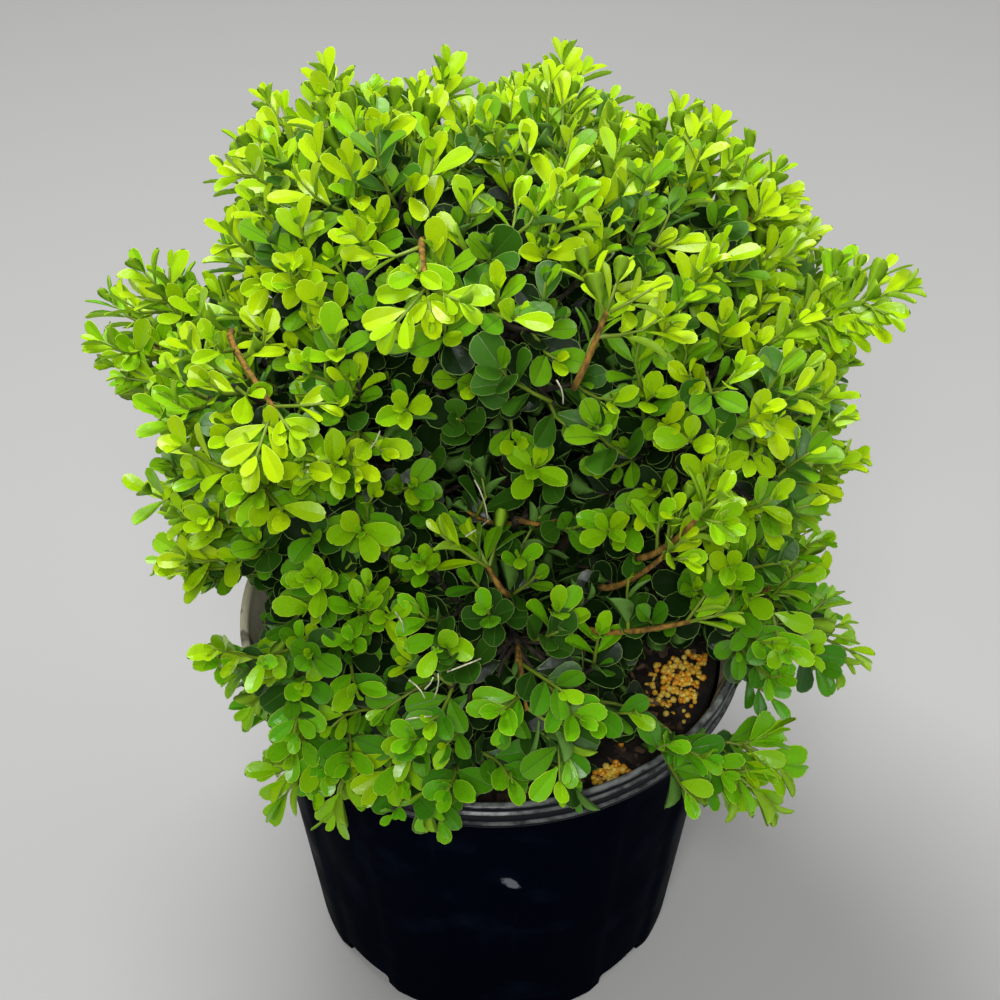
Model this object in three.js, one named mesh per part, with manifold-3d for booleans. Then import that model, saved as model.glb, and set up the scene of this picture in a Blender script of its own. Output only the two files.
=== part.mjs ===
import * as THREE from "three";
import { mergeVertices } from "three/addons/utils/BufferGeometryUtils.js";
import Module from "manifold-3d";

// A young boxwood shrub in a three-gallon nursery pot. Millimetres, +Z up, with the origin in the
// middle of the pot's underside. The front is -Y: azimuths are counted from it towards +X.

// Driving dimensions of the pot
const POT_HEIGHT = 237;
const RIM_RADIUS = 136.5;
const WALL_TOP_RADIUS = 128;
const FOOT_RADIUS = 107;
const WALL = 2;
const FLOOR = 3;
const BAND_HEIGHT = 17;
const BAND_WALL = 5;
const FLUTES = 8;
const FLUTE_DEPTH = 1.6;
const FLUTE_TOP = 196;
const DRAIN_WIDTH = 34;
const DRAIN_HEIGHT = 10;
const POT_SEGMENTS = 40;

// Driving dimensions of the potting mix and the short trunk that stands on it
const SOIL_BELOW_RIM = 26;
const SOIL_MOUND = 3;
const GAP = 0.3;
const FINEST = 0.15;
const TRUNK_HEIGHT = 32;
const TRUNK_RADIUS = 10;
const TRUNK_FLARE = 6;
const TRUNK_LEAN = 3;

// Driving dimensions of the crown: a globe whose limbs spread from a heart below its middle
const GLOBE_RADIUS = 193;
const GLOBE_ABOVE_RIM = 117;
const HEART_ABOVE_SOIL = 60;
const STEMS = 7;
const FIRST_STEM = 8;
const STEM_RADIUS = 4.8;
const STEM_TIP_RADIUS = 3.4;
const STEM_RISE = 62;
const STEM_SPREAD = 36;
const BOUGH_RADIUS = 3.1;
const BOUGH_TIP_RADIUS = 2.1;

// Driving dimensions of the twigs and leaves
const TWIG_RADIUS = 1.5;
const TWIG_TIP_RADIUS = 0.9;
const TWIG_OPENING = 72;
const CORE_SHARE = 0.44;
const CORE_BUMPS = 0.14;
const ENTRY_SHARE = 0.6;
const LEAF_LENGTH = 46;
const LEAF_WIDTH = 29;
const LEAF_THICKNESS = 1.6;
const LEAF_MARGIN = 1;
const LEAF_STEP = 23;
const LEAF_ANGLES = [34, 60, 74];
const PAIR_OFFSET = 0.9;

const SOIL_TOP = POT_HEIGHT - SOIL_BELOW_RIM + SOIL_MOUND;
const GLOBE_MIDDLE = new THREE.Vector3(0, 0, POT_HEIGHT + GLOBE_ABOVE_RIM);
const HEART = new THREE.Vector3(0, 0, POT_HEIGHT - SOIL_BELOW_RIM + HEART_ABOVE_SOIL);
const UP = new THREE.Vector3(0, 0, 1);
const GOLDEN_TURN = Math.PI * (3 - Math.sqrt(5));

// The masses of foliage stand in four tiers. Each has an elevation as seen from the heart, the
// radius of the space that a mass keeps to, how far its shoots lift towards the light, how far up
// the stems its boughs leave them, how many twigs a mass has, and the azimuths that masses point to.
const TIERS = {
  low: { elevation: -4, spread: 74, lift: 0.45, leaves: 0.3, twigs: 8, azimuths: [-42, -6, 36, 78, 128, 178, 226, 276] },
  mid: { elevation: 28, spread: 86, lift: 0.35, leaves: 0.55, twigs: 7, azimuths: [6, 54, 104, 158, 212, 260, 310] },
  upper: { elevation: 54, spread: 88, lift: 0.25, leaves: 0.8, twigs: 6, azimuths: [8, 58, 112, 172, 222, 300] },
  top: { elevation: 79, spread: 88, lift: 0.2, leaves: 0.97, twigs: 6, azimuths: [14, 134, 254] },
};
// Masses that don't keep to the globe or to their tier: how far each stands out past the globe, or
// short of it, and how much higher it points, in degrees
const STRAYS = {
  low_right_front: { out: 26, rise: 0 },
  low_right: { out: 16, rise: 0 },
  low_left_front: { out: 12, rise: 0 },
  mid_front: { out: -14, rise: 0 },
  mid_right: { out: 36, rise: 4 },
  mid_left: { out: 30, rise: 8 },
  upper_front: { out: -40, rise: 0 },
  upper_back: { out: 14, rise: 0 },
  upper_back_left: { out: 18, rise: 0 },
  upper_right: { out: 10, rise: 0 },
  top_left: { out: 10, rise: -4 },
};
const SIDES = ["front", "right_front", "right", "back_right", "back", "back_left", "left", "left_front"];

const wasm = await Module();
wasm.setup();

const boxwood = new THREE.Group();
boxwood.name = "potted_boxwood";

const finish = (color, roughness) => new THREE.MeshStandardMaterial({ color, roughness, metalness: 0 });
const POT_PLASTIC = finish(0x0a1018, 0.42);
const POTTING_MIX = finish(0x2b1d15, 0.95);
const BARK = finish(0x8a7446, 0.85);
const LEAF_GREENS = {
  low: finish(0x5f9a1c, 0.5),
  mid: finish(0x6ba51a, 0.5),
  upper: finish(0x86b81a, 0.5),
  top: finish(0x9cc61c, 0.5),
};

// Repeatable numbers from 0 to 1, the same ones for the same seed
function seeded(seed) {
  let state = seed;
  return () => {
    state = (state * 1664525 + 1013904223) % 4294967296;
    return state / 4294967296;
  };
}

function solidOf(geometry) {
  const bare = geometry.clone();
  bare.deleteAttribute("normal");
  bare.deleteAttribute("uv");
  const merged = mergeVertices(bare, 1e-3);
  const mesh = new wasm.Mesh({
    numProp: 3,
    vertProperties: merged.attributes.position.array,
    triVerts: new Uint32Array(merged.index.array),
  });
  return new wasm.Manifold(mesh);
}

function geometryOf(solid) {
  const mesh = solid.getMesh();
  const geometry = new THREE.BufferGeometry();
  geometry.setAttribute("position", new THREE.BufferAttribute(new Float32Array(mesh.vertProperties), 3));
  geometry.setIndex(new THREE.BufferAttribute(new Uint32Array(mesh.triVerts), 1));
  return geometry;
}

// The one connected piece of a solid that is worth keeping: scraps go, and sealed hollows fill
function wholePiece(solid, finest = 0.03) {
  const pieces = solid.simplify(finest).decompose();
  return pieces.reduce((best, piece) => (piece.volume() > best.volume() ? piece : best));
}

function addPiece(name, solid, material) {
  const mesh = new THREE.Mesh(geometryOf(solid), material);
  mesh.name = name;
  boxwood.add(mesh);
  return mesh;
}

// A tapering limb of round section along a curve, with flat ends, and an extra skin if asked for
function limb(curve, radiusAt, sides, steps, extra = 0) {
  const geometry = new THREE.CylinderGeometry(1, 1, 1, sides, steps);
  const frames = curve.computeFrenetFrames(steps, false);
  const position = geometry.attributes.position;
  for (let i = 0; i < position.count; i += 1) {
    const along = position.getY(i) + 0.5;
    const step = Math.round(along * steps);
    const radius = radiusAt(along, Math.atan2(position.getZ(i), position.getX(i))) + extra;
    const end = Math.abs(2 * along - 1) > 0.99 ? Math.sign(along - 0.5) : 0;
    const point = curve.getPointAt(along).addScaledVector(frames.tangents[step], end * extra);
    point.addScaledVector(frames.normals[step], position.getX(i) * radius);
    point.addScaledVector(frames.binormals[step], -position.getZ(i) * radius);
    position.setXYZ(i, point.x, point.y, point.z);
  }
  return solidOf(geometry);
}

const taper = (start, end) => (along) => THREE.MathUtils.lerp(start, end, along);

// A unit vector at an azimuth from the front and an elevation, both in degrees
function heading(azimuth, elevation) {
  const turn = THREE.MathUtils.degToRad(azimuth);
  const rise = THREE.MathUtils.degToRad(elevation);
  return new THREE.Vector3(
    Math.sin(turn) * Math.cos(rise),
    -Math.cos(turn) * Math.cos(rise),
    Math.sin(rise),
  );
}

// Pot: a fluted wall that tapers to its foot, under a rim band with a groove round it

// How deep a flute presses the wall in, at an angle round the pot and a height
function fluteDepth(angle, z, fluteTop) {
  const pitch = (2 * Math.PI) / FLUTES;
  const off = Math.abs(angle - Math.round(angle / pitch) * pitch);
  return z < fluteTop + 1 && off < pitch / 4 - 1e-6 ? FLUTE_DEPTH : 0;
}

const wallRadius = (z) => THREE.MathUtils.lerp(FOOT_RADIUS, WALL_TOP_RADIUS, z / (POT_HEIGHT - BAND_HEIGHT));

// A profile of [radius, height] pairs turned round the Z axis, with the flutes pressed into it
function turned(profile, fluteTop) {
  const points = profile.map(([r, z]) => new THREE.Vector2(r, z));
  const geometry = new THREE.LatheGeometry(points, POT_SEGMENTS);
  geometry.rotateX(Math.PI / 2);
  const position = geometry.attributes.position;
  for (let i = 0; i < position.count; i += 1) {
    const x = position.getX(i);
    const y = position.getY(i);
    const z = position.getZ(i);
    const r = Math.hypot(x, y);
    const onWall = r > wallRadius(z) - WALL - 3 * GAP;
    if (onWall) {
      const scale = (r - fluteDepth(Math.atan2(x, -y), z, fluteTop)) / r;
      position.setXYZ(i, x * scale, y * scale, z);
    }
  }
  return solidOf(geometry);
}

function pot() {
  const band = POT_HEIGHT - BAND_HEIGHT;
  const groove = RIM_RADIUS - 1.8;
  const bandInside = RIM_RADIUS - BAND_WALL;
  const body = turned([
    [0, 0],
    [FOOT_RADIUS - 2, 0],
    [wallRadius(2), 2],
    [wallRadius(FLUTE_TOP), FLUTE_TOP],
    [wallRadius(FLUTE_TOP + 8), FLUTE_TOP + 8],
    [wallRadius(band), band],
    [RIM_RADIUS - 0.8, band + 1],
    [RIM_RADIUS, band + 2.5],
    [RIM_RADIUS, band + 6],
    [groove, band + 7.5],
    [groove, band + 10],
    [RIM_RADIUS, band + 11.5],
    [RIM_RADIUS, POT_HEIGHT - 1.5],
    [RIM_RADIUS - 1.5, POT_HEIGHT],
    [bandInside, POT_HEIGHT],
    [bandInside, band + 2],
    [wallRadius(band) - WALL, band - 4],
    [wallRadius(FLUTE_TOP + 8) - WALL, FLUTE_TOP + 8],
    [wallRadius(FLUTE_TOP) - WALL, FLUTE_TOP],
    [wallRadius(FLOOR) - WALL, FLOOR],
    [0, FLOOR],
  ], FLUTE_TOP);
  const drain = new THREE.BoxGeometry(DRAIN_WIDTH, 3 * DRAIN_HEIGHT, 2 * DRAIN_HEIGHT);
  let cut = body;
  for (let i = 0; i < FLUTES; i += 1) {
    const hole = drain.clone();
    hole.translate(0, -FOOT_RADIUS - 0.5 * DRAIN_HEIGHT, 0);
    hole.rotateZ((i * 2 * Math.PI) / FLUTES);
    cut = cut.subtract(solidOf(hole));
  }
  return cut;
}

function soil() {
  const surface = POT_HEIGHT - SOIL_BELOW_RIM;
  const inside = (z) => wallRadius(z) - WALL - GAP;
  return turned([
    [0, FLOOR + GAP],
    [inside(FLOOR), FLOOR + GAP],
    [inside(FLUTE_TOP), FLUTE_TOP],
    [inside(FLUTE_TOP + 8), FLUTE_TOP + 8],
    [inside(surface - 3), surface - 3],
    [inside(surface) - 8, surface],
    [TRUNK_RADIUS + TRUNK_FLARE + 14, SOIL_TOP],
    [0, SOIL_TOP],
  ], FLUTE_TOP + 8);
}

// Short trunk: a leaning stub whose foot flares in lobes on the potting mix
function trunk(extra = 0) {
  const foot = new THREE.Vector3(0, 0, SOIL_TOP + GAP);
  const head = new THREE.Vector3(TRUNK_LEAN, -TRUNK_LEAN / 2, SOIL_TOP + GAP + TRUNK_HEIGHT);
  const bend = new THREE.Vector3(0, 0, SOIL_TOP + GAP + TRUNK_HEIGHT / 2);
  const radiusAt = (along, angle) => {
    const flare = TRUNK_FLARE * (1 - along) ** 3;
    return TRUNK_RADIUS + 2 * along + flare * (1 + 0.25 * Math.cos(4 * angle));
  };
  return limb(new THREE.QuadraticBezierCurve3(foot, bend, head), radiusAt, 12, 4, extra);
}

// The main stems fork from the trunk's head, one to each side
function stemCurves() {
  return Array.from({ length: STEMS }, (_, i) => {
    const azimuth = FIRST_STEM + (i * 360) / STEMS;
    const out = heading(azimuth, 0);
    const foot = new THREE.Vector3(TRUNK_LEAN, -TRUNK_LEAN / 2, SOIL_TOP + TRUNK_HEIGHT - 9);
    foot.addScaledVector(out, 4);
    const tip = HEART.clone().addScaledVector(out, STEM_SPREAD);
    tip.z = foot.z + STEM_RISE + 5 * Math.cos(2 * i);
    const bend = foot.clone().addScaledVector(out, STEM_SPREAD * 0.75);
    bend.z += STEM_RISE * 0.3;
    return { azimuth, curve: new THREE.QuadraticBezierCurve3(foot, bend, tip) };
  });
}

// Masses: each has a space of its own, a middle, and an axis along which it grows

function globeReach(elevation) {
  const below = GLOBE_MIDDLE.z - HEART.z;
  const rise = THREE.MathUtils.degToRad(elevation);
  return below * Math.sin(rise) + Math.sqrt(GLOBE_RADIUS ** 2 - (below * Math.cos(rise)) ** 2);
}

const turnBetween = (a, b) => Math.abs(((a - b + 540) % 360) - 180);

function massName(tier, azimuth, taken) {
  const side = SIDES[Math.round((((azimuth % 360) + 360) % 360) / 45) % SIDES.length];
  const name = `${tier}_${side}`;
  return taken.has(name) ? `${name}_b` : name;
}

function allMasses(stems) {
  const masses = [];
  const taken = new Set();
  for (const [tier, facts] of Object.entries(TIERS)) {
    for (const azimuth of facts.azimuths) {
      const name = massName(tier, azimuth, taken);
      taken.add(name);
      const stray = STRAYS[name] ?? { out: 0, rise: 0 };
      const elevation = facts.elevation + stray.rise;
      const out = heading(azimuth, elevation);
      const spread = facts.spread - Math.abs(0.5 * stray.out);
      const reach = globeReach(elevation) + stray.out;
      const middle = HEART.clone().addScaledVector(out, reach - spread);
      const axis = out.clone().addScaledVector(UP, 0.12).normalize();
      const face = middle.clone().sub(GLOBE_MIDDLE).normalize().addScaledVector(UP, facts.lift).normalize();
      const base = middle.clone().addScaledVector(axis, -ENTRY_SHARE * spread);
      const stem = stems.reduce((best, one) =>
        turnBetween(one.azimuth, azimuth) < turnBetween(best.azimuth, azimuth) ? one : best,
      );
      masses.push({ name, tier, middle, face, axis, base, stem, spread, seed: masses.length + 1 });
    }
  }
  return masses;
}

// Whether a point lies in a mass's own space: its ball, cut off flat between it and each neighbour
function inSpace(point, mass, masses, clear) {
  if (point.distanceTo(mass.middle) > mass.spread) return false;
  return masses.every((other) => {
    if (other === mass) return true;
    const apart = other.middle.distanceTo(mass.middle);
    const border = (apart * mass.spread) / (mass.spread + other.spread) - clear;
    return point.clone().sub(mass.middle).dot(other.middle.clone().sub(mass.middle)) <= border * apart;
  });
}

function boughCurve(mass) {
  const foot = mass.stem.curve.getPointAt(TIERS[mass.tier].leaves);
  const length = foot.distanceTo(mass.base);
  const bend = mass.base.clone().addScaledVector(mass.axis, -0.45 * length);
  return new THREE.QuadraticBezierCurve3(foot, bend, mass.base);
}

// A mass's own stem carries on from its bough's tip, a hair clear of it, almost to its middle
function leaderCurve(mass) {
  const start = mass.base.clone().addScaledVector(mass.axis, GAP);
  const end = mass.middle.clone().addScaledVector(mass.axis, 0.1 * mass.spread);
  return new THREE.LineCurve3(start, end);
}

const leader = (mass, extra = 0) =>
  limb(leaderCurve(mass), taper(BOUGH_TIP_RADIUS, TWIG_RADIUS + 0.2), 5, 1, extra);

// Twigs leave a mass's stem at golden turns, the first straight out and the last the most open
function twigCurves(mass, masses, tipRoom) {
  const random = seeded(mass.seed * 7919);
  const aside = new THREE.Vector3().crossVectors(mass.face, UP).normalize();
  const stem = leaderCurve(mass);
  const twigs = [];
  const roll = random() * 2 * Math.PI;
  const count = TIERS[mass.tier].twigs;
  for (let i = 0; i < count; i += 1) {
    const turn = roll + i * GOLDEN_TURN + 0.3 * (random() - 0.5);
    const open = THREE.MathUtils.degToRad(TWIG_OPENING) * Math.sqrt((i + 0.2) / count);
    const share = 0.9 + 0.1 * random();
    const side = aside.clone().applyAxisAngle(mass.face, turn);
    const heads = mass.face.clone().multiplyScalar(Math.cos(open)).addScaledVector(side, Math.sin(open));
    const foot = stem.getPoint(0.96 - (0.5 * i) / count);
    const tip = reachOf(foot, heads, share, mass, masses, tipRoom);
    if (tip) twigs.push(twigBetween(foot, tip, heads));
  }
  return twigs;
}

// The furthest point from a twig's foot that keeps to the mass's space, with room for its last leaf
function reachOf(foot, heads, share, mass, masses, tipRoom) {
  const rise = new THREE.Vector3();
  for (let length = 2 * mass.spread; length >= 14; length -= 2) {
    const tip = foot.clone().addScaledVector(heads, length);
    tip.addScaledVector(UP, 0.08 * length);
    rise.subVectors(tip, foot).normalize();
    const leafEnd = tip.clone().addScaledVector(rise, tipRoom);
    if (inSpace(leafEnd, mass, masses, 1)) {
      return foot.clone().addScaledVector(heads, length * share).addScaledVector(UP, 0.08 * length * share);
    }
  }
  return null;
}

function twigBetween(foot, tip, heads) {
  const bend = foot.clone().addScaledVector(heads, 0.5 * foot.distanceTo(tip));
  return new THREE.QuadraticBezierCurve3(foot, bend, tip);
}

// Leaf outline: share of its length, share of its width, from the root round a blunt tip
const LEAF_OUTLINE = [
  [0, 0],
  [0.6, 0.5],
  [0.97, 0.2],
  [0.97, -0.2],
  [0.6, -0.5],
];

// One leaf: a thin closed form, flat below and raised to a low ridge above, from its root along a heading
function leaf(root, heads, faces, scale) {
  const geometry = new THREE.SphereGeometry(1, LEAF_OUTLINE.length, 2);
  const across = new THREE.Vector3().crossVectors(heads, faces).normalize();
  const normal = new THREE.Vector3().crossVectors(across, heads).normalize();
  const position = geometry.attributes.position;
  for (let i = 0; i < position.count; i += 1) {
    const y = position.getY(i);
    const angle = Math.atan2(position.getZ(i), -position.getX(i));
    const ring = Math.round((angle / (2 * Math.PI)) * LEAF_OUTLINE.length);
    const outline = LEAF_OUTLINE[(ring + LEAF_OUTLINE.length) % LEAF_OUTLINE.length];
    const onPole = Math.abs(y) > 0.5;
    const [along, wide] = onPole ? [0.58, 0] : outline;
    const point = root.clone().addScaledVector(heads, along * LEAF_LENGTH * scale);
    point.addScaledVector(across, wide * LEAF_WIDTH * scale);
    point.addScaledVector(normal, y > 0.5 ? LEAF_THICKNESS : 0);
    position.setXYZ(i, point.x, point.y, point.z);
  }
  return { solid: solidOf(geometry), corners: leafCorners(root, heads, across, scale) };
}

function leafCorners(root, heads, across, scale) {
  return LEAF_OUTLINE.slice(1).map(([along, wide]) =>
    root
      .clone()
      .addScaledVector(heads, along * LEAF_LENGTH * scale)
      .addScaledVector(across, wide * LEAF_WIDTH * scale),
  );
}

// Opposite pairs of leaves from a twig's tip down, each pair turned a quarter from the last
function leavesOn(curve, random) {
  const length = curve.getLength();
  const roll = random() * Math.PI;
  const found = [];
  LEAF_ANGLES.forEach((opening, pair) => {
    const along = 1 - (2.5 + pair * LEAF_STEP) / length;
    if (along < 0.25) return;
    const tangent = curve.getTangentAt(along);
    const across = sideOf(tangent, roll + (pair * Math.PI) / 2);
    for (const way of [1, -1]) {
      const side = across.clone().multiplyScalar(way);
      const angle = opening + 10 * (random() - 0.5);
      const point = curve.getPointAt(along).addScaledVector(tangent, PAIR_OFFSET * (way - 1));
      found.push({ point, ahead: tangent, side, angle });
    }
  });
  return found;
}

function sideOf(ahead, turn) {
  const side = new THREE.Vector3().crossVectors(ahead, UP).normalize();
  return side.applyAxisAngle(ahead, turn);
}

// The close leafage inside a mass: a lumpy ball round its middle, pressed flat by its neighbours
function core(mass, masses) {
  const random = seeded(mass.seed * 31);
  const geometry = mergeVertices(bareSphere(), 1e-3);
  const position = geometry.attributes.position;
  for (let i = 0; i < position.count; i += 1) {
    const heads = new THREE.Vector3().fromBufferAttribute(position, i).normalize();
    let radius = CORE_SHARE * mass.spread * (1 + CORE_BUMPS * (2 * random() - 1));
    const point = mass.middle.clone().addScaledVector(heads, radius);
    while (radius > 8 && !inSpace(point, mass, masses, LEAF_MARGIN)) {
      radius -= 2;
      point.copy(mass.middle).addScaledVector(heads, radius);
    }
    position.setXYZ(i, point.x, point.y, point.z);
  }
  return solidOf(geometry);
}

function bareSphere() {
  const geometry = new THREE.OctahedronGeometry(1, 1);
  geometry.deleteAttribute("normal");
  geometry.deleteAttribute("uv");
  return geometry;
}

// A mass of foliage: its stem, core, twigs and leaves fused into one solid
function foliage(mass, masses, keepClear) {
  const random = seeded(mass.seed * 104723);
  const lump = core(mass, masses).subtract(keepClear);
  const wood = [leader(mass), lump];
  const blades = [];
  for (const curve of twigCurves(mass, masses, 0.78 * LEAF_LENGTH)) {
    const twig = limb(curve, taper(TWIG_RADIUS, TWIG_TIP_RADIUS), 3, 1);
    if (!twig.intersect(keepClear).isEmpty()) continue;
    wood.push(twig);
    for (const place of leavesOn(curve, random)) {
      const blade = fittingBlade(place, mass, masses, blades, 0.86 + 0.24 * random());
      if (blade && blade.solid.intersect(keepClear).isEmpty()) blades.push(blade.solid);
    }
  }
  return wholePiece(wasm.Manifold.union([...wood, ...blades]), FINEST);
}

// A leaf that would leave its mass's space closes up or stays smaller, and is left out if it can't
function fittingBlade({ point, ahead, side, angle }, mass, masses, placed, scale) {
  for (const [closer, smaller] of [[1, 1], [0.6, 0.95], [1, 0.8], [0.5, 0.8]]) {
    const blade = bladeAt(point, ahead, side, angle * closer, scale * smaller);
    const inside = blade.corners.every((corner) => inSpace(corner, mass, masses, LEAF_MARGIN));
    const inCore = blade.corners[1].distanceTo(mass.middle) < CORE_SHARE * mass.spread + 6;
    if (!inside || inCore) continue;
    if (placed.every((other) => blade.solid.intersect(other).volume() < 0.5)) return blade;
  }
  return null;
}

function bladeAt(point, ahead, side, angle, scale) {
  const lean = THREE.MathUtils.degToRad(angle);
  const heads = ahead.clone().multiplyScalar(Math.cos(lean)).addScaledVector(side, Math.sin(lean));
  const faces = ahead.clone().multiplyScalar(Math.sin(lean)).addScaledVector(side, -Math.cos(lean));
  faces.addScaledVector(UP, 0.7).normalize();
  return leaf(point, heads, faces, scale);
}

// The pot, the potting mix and every limb, a little enlarged, which foliage keeps clear of
function keepClearOf(curves) {
  const wide = curves.map(({ curve, start, end }) => limb(curve, taper(start, end), 6, 4, GAP + 0.5));
  const around = turned([
    [0, FLOOR],
    [RIM_RADIUS + 1.5, FLOOR],
    [RIM_RADIUS + 1.5, POT_HEIGHT + 1.5],
    [RIM_RADIUS - BAND_WALL - 1.5, POT_HEIGHT + 1.5],
    [RIM_RADIUS - BAND_WALL - 1.5, SOIL_TOP + 2],
    [0, SOIL_TOP + 2],
  ], 0);
  return wasm.Manifold.union([...wide, around, trunk(GAP + 0.3)]);
}

// Limbs in their order of growth: each is cut clear of those that it springs from or passes
function growLimbs(stems, masses) {
  const grown = [{ solid: trunk(), wide: trunk(GAP) }];
  const curves = [];
  addPiece("trunk", grown[0].solid, BARK);
  const grow = (name, curve, start, end, sides, steps) => {
    let solid = limb(curve, taper(start, end), sides, steps);
    for (const other of grown) {
      if (!solid.intersect(other.wide).isEmpty()) solid = solid.subtract(other.wide);
    }
    solid = wholePiece(solid);
    grown.push({ solid, wide: limb(curve, taper(start, end), sides, steps, GAP) });
    curves.push({ curve, start, end });
    addPiece(name, solid, BARK);
  };
  stems.forEach(({ curve }, i) => grow(`stem_${i + 1}`, curve, STEM_RADIUS, STEM_TIP_RADIUS, 6, 3));
  for (const mass of masses) {
    grow(`bough_${mass.name}`, boughCurve(mass), BOUGH_RADIUS, BOUGH_TIP_RADIUS, 5, 2);
  }
  return curves;
}

addPiece("pot", pot(), POT_PLASTIC);
addPiece("potting_mix", soil(), POTTING_MIX);
const stems = stemCurves();
const masses = allMasses(stems);
const limbCurves = growLimbs(stems, masses);
const keepClear = keepClearOf(limbCurves);
for (const mass of masses) {
  const otherLeaders = masses.filter((other) => other !== mass).map((other) => leader(other, GAP));
  const clearOf = wasm.Manifold.union([keepClear, ...otherLeaders]);
  addPiece(`leaves_${mass.name}`, foliage(mass, masses, clearOf), LEAF_GREENS[mass.tier]);
}

export default boxwood;
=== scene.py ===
"""A young boxwood shrub in a three-gallon nursery pot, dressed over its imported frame.

Metres, +Z up, with the origin in the middle of the pot's underside. The front is -Y, and azimuths
are counted from it towards +X. Limbs, twigs and leaves grow by one seeded rule: masses of foliage
stand round a globe, each keeps to a space of its own, and shoots with opposite leaves fill it.
"""

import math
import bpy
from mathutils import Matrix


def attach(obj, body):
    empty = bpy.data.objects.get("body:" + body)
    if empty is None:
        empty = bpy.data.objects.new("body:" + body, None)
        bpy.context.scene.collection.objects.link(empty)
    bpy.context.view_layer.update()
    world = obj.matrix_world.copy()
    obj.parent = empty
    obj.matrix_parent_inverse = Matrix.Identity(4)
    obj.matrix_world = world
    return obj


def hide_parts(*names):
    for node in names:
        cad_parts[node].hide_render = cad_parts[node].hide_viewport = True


bl_info = {
    "name": "Potted Boxwood",
    "version": (1, 0, 0),
    "blender": (4, 5, 0),
    "location": "3D View > Sidebar > Boxwood",
    "description": "Models a young boxwood shrub, its nursery pot and the studio it stands in",
    "category": "Add Mesh",
}

from typing import NamedTuple

import bmesh
import bpy
import numpy as np
from bpy.props import FloatProperty, FloatVectorProperty, IntProperty, PointerProperty
from mathutils import Matrix, Quaternion, Vector, noise

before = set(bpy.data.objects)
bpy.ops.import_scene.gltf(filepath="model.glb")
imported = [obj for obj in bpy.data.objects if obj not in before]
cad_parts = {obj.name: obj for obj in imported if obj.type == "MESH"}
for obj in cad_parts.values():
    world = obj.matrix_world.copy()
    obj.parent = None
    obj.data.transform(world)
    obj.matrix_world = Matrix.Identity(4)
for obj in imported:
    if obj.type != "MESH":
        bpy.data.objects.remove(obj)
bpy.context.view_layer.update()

UP = Vector((0, 0, 1))
GOLDEN_TURN = math.pi * (3 - math.sqrt(5))


def length_of(name, description, default):
    return FloatProperty(name=name, description=description, default=default, min=0, unit="LENGTH")


def colour_of(name, description, default):
    return FloatVectorProperty(
        name=name, description=description, default=default, subtype="COLOR", size=3, min=0, max=1
    )


# Sizes and colours


class PotSizes(bpy.types.PropertyGroup):
    height: length_of("Height", "From the floor to the top of the rim", 0.237)
    rim_radius: length_of("Rim radius", "Outside of the rim band", 0.1365)
    wall_top_radius: length_of("Wall top radius", "Outside of the wall under the band", 0.128)
    foot_radius: length_of("Foot radius", "Outside of the wall at the floor", 0.107)
    wall: length_of("Wall", "Thickness of the wall", 0.002)
    floor: length_of("Floor", "Thickness of the floor", 0.003)
    band_height: length_of("Band height", "Height of the rim band", 0.017)
    flutes: IntProperty(name="Flutes", description="Shallow flutes round the wall", default=8)
    flute_depth: length_of("Flute depth", "How far a flute presses the wall in", 0.0016)
    flute_top: length_of("Flute top", "Height at which the flutes fade out", 0.196)
    drain_width: length_of("Drain width", "Width of a drain notch at the foot", 0.034)
    drain_height: length_of("Drain height", "Height of a drain notch", 0.010)
    mix_below_rim: length_of("Mix below rim", "From the rim down to the potting mix", 0.026)
    mix_mound: length_of("Mix mound", "How much the mix rises to the trunk", 0.003)
    prill: length_of("Prill", "Across one grain of slow fertiliser", 0.0031)


class CrownSizes(bpy.types.PropertyGroup):
    globe_radius: length_of("Globe radius", "Radius of the crown's globe", 0.193)
    globe_above_rim: length_of("Globe above rim", "From the rim to the globe's middle", 0.117)
    heart_above_mix: length_of("Heart above mix", "Where the limbs spread from", 0.060)
    trunk_height: length_of("Trunk height", "From the mix to the fork", 0.032)
    trunk_radius: length_of("Trunk radius", "Above the flare at its foot", 0.010)
    trunk_flare: length_of("Trunk flare", "How far the foot spreads", 0.006)
    trunk_lean: length_of("Trunk lean", "How far its head leans", 0.003)
    stems: IntProperty(name="Stems", description="Main stems from the fork", default=7)
    stem_radius: length_of("Stem radius", "At the fork", 0.0048)
    stem_tip_radius: length_of("Stem tip radius", "At the stem's tip", 0.0034)
    stem_rise: length_of("Stem rise", "From the fork to the stem's tip", 0.062)
    stem_spread: length_of("Stem spread", "How far out the tips stand", 0.036)
    bough_radius: length_of("Bough radius", "Where it leaves its stem", 0.0031)
    bough_tip_radius: length_of("Bough tip radius", "Where it enters its mass", 0.0021)
    twig_radius: length_of("Twig radius", "Where it leaves its mass's stem", 0.0015)
    twig_tip_radius: length_of("Twig tip radius", "At the twig's tip", 0.0008)


class LeafSizes(bpy.types.PropertyGroup):
    length: length_of("Length", "A full leaf from root to tip", 0.0186)
    width: length_of("Width", "A full leaf at its widest", 0.0100)
    thickness: length_of("Thickness", "Through the midrib", 0.0005)
    margin: length_of("Margin", "Width of a leaf's pale edge", 0.0003)
    rib: length_of("Rib", "Width of a full leaf's pale midrib at its root", 0.0004)
    crowding: length_of("Crowding", "The least between two leaves' middles", 0.0044)


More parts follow.
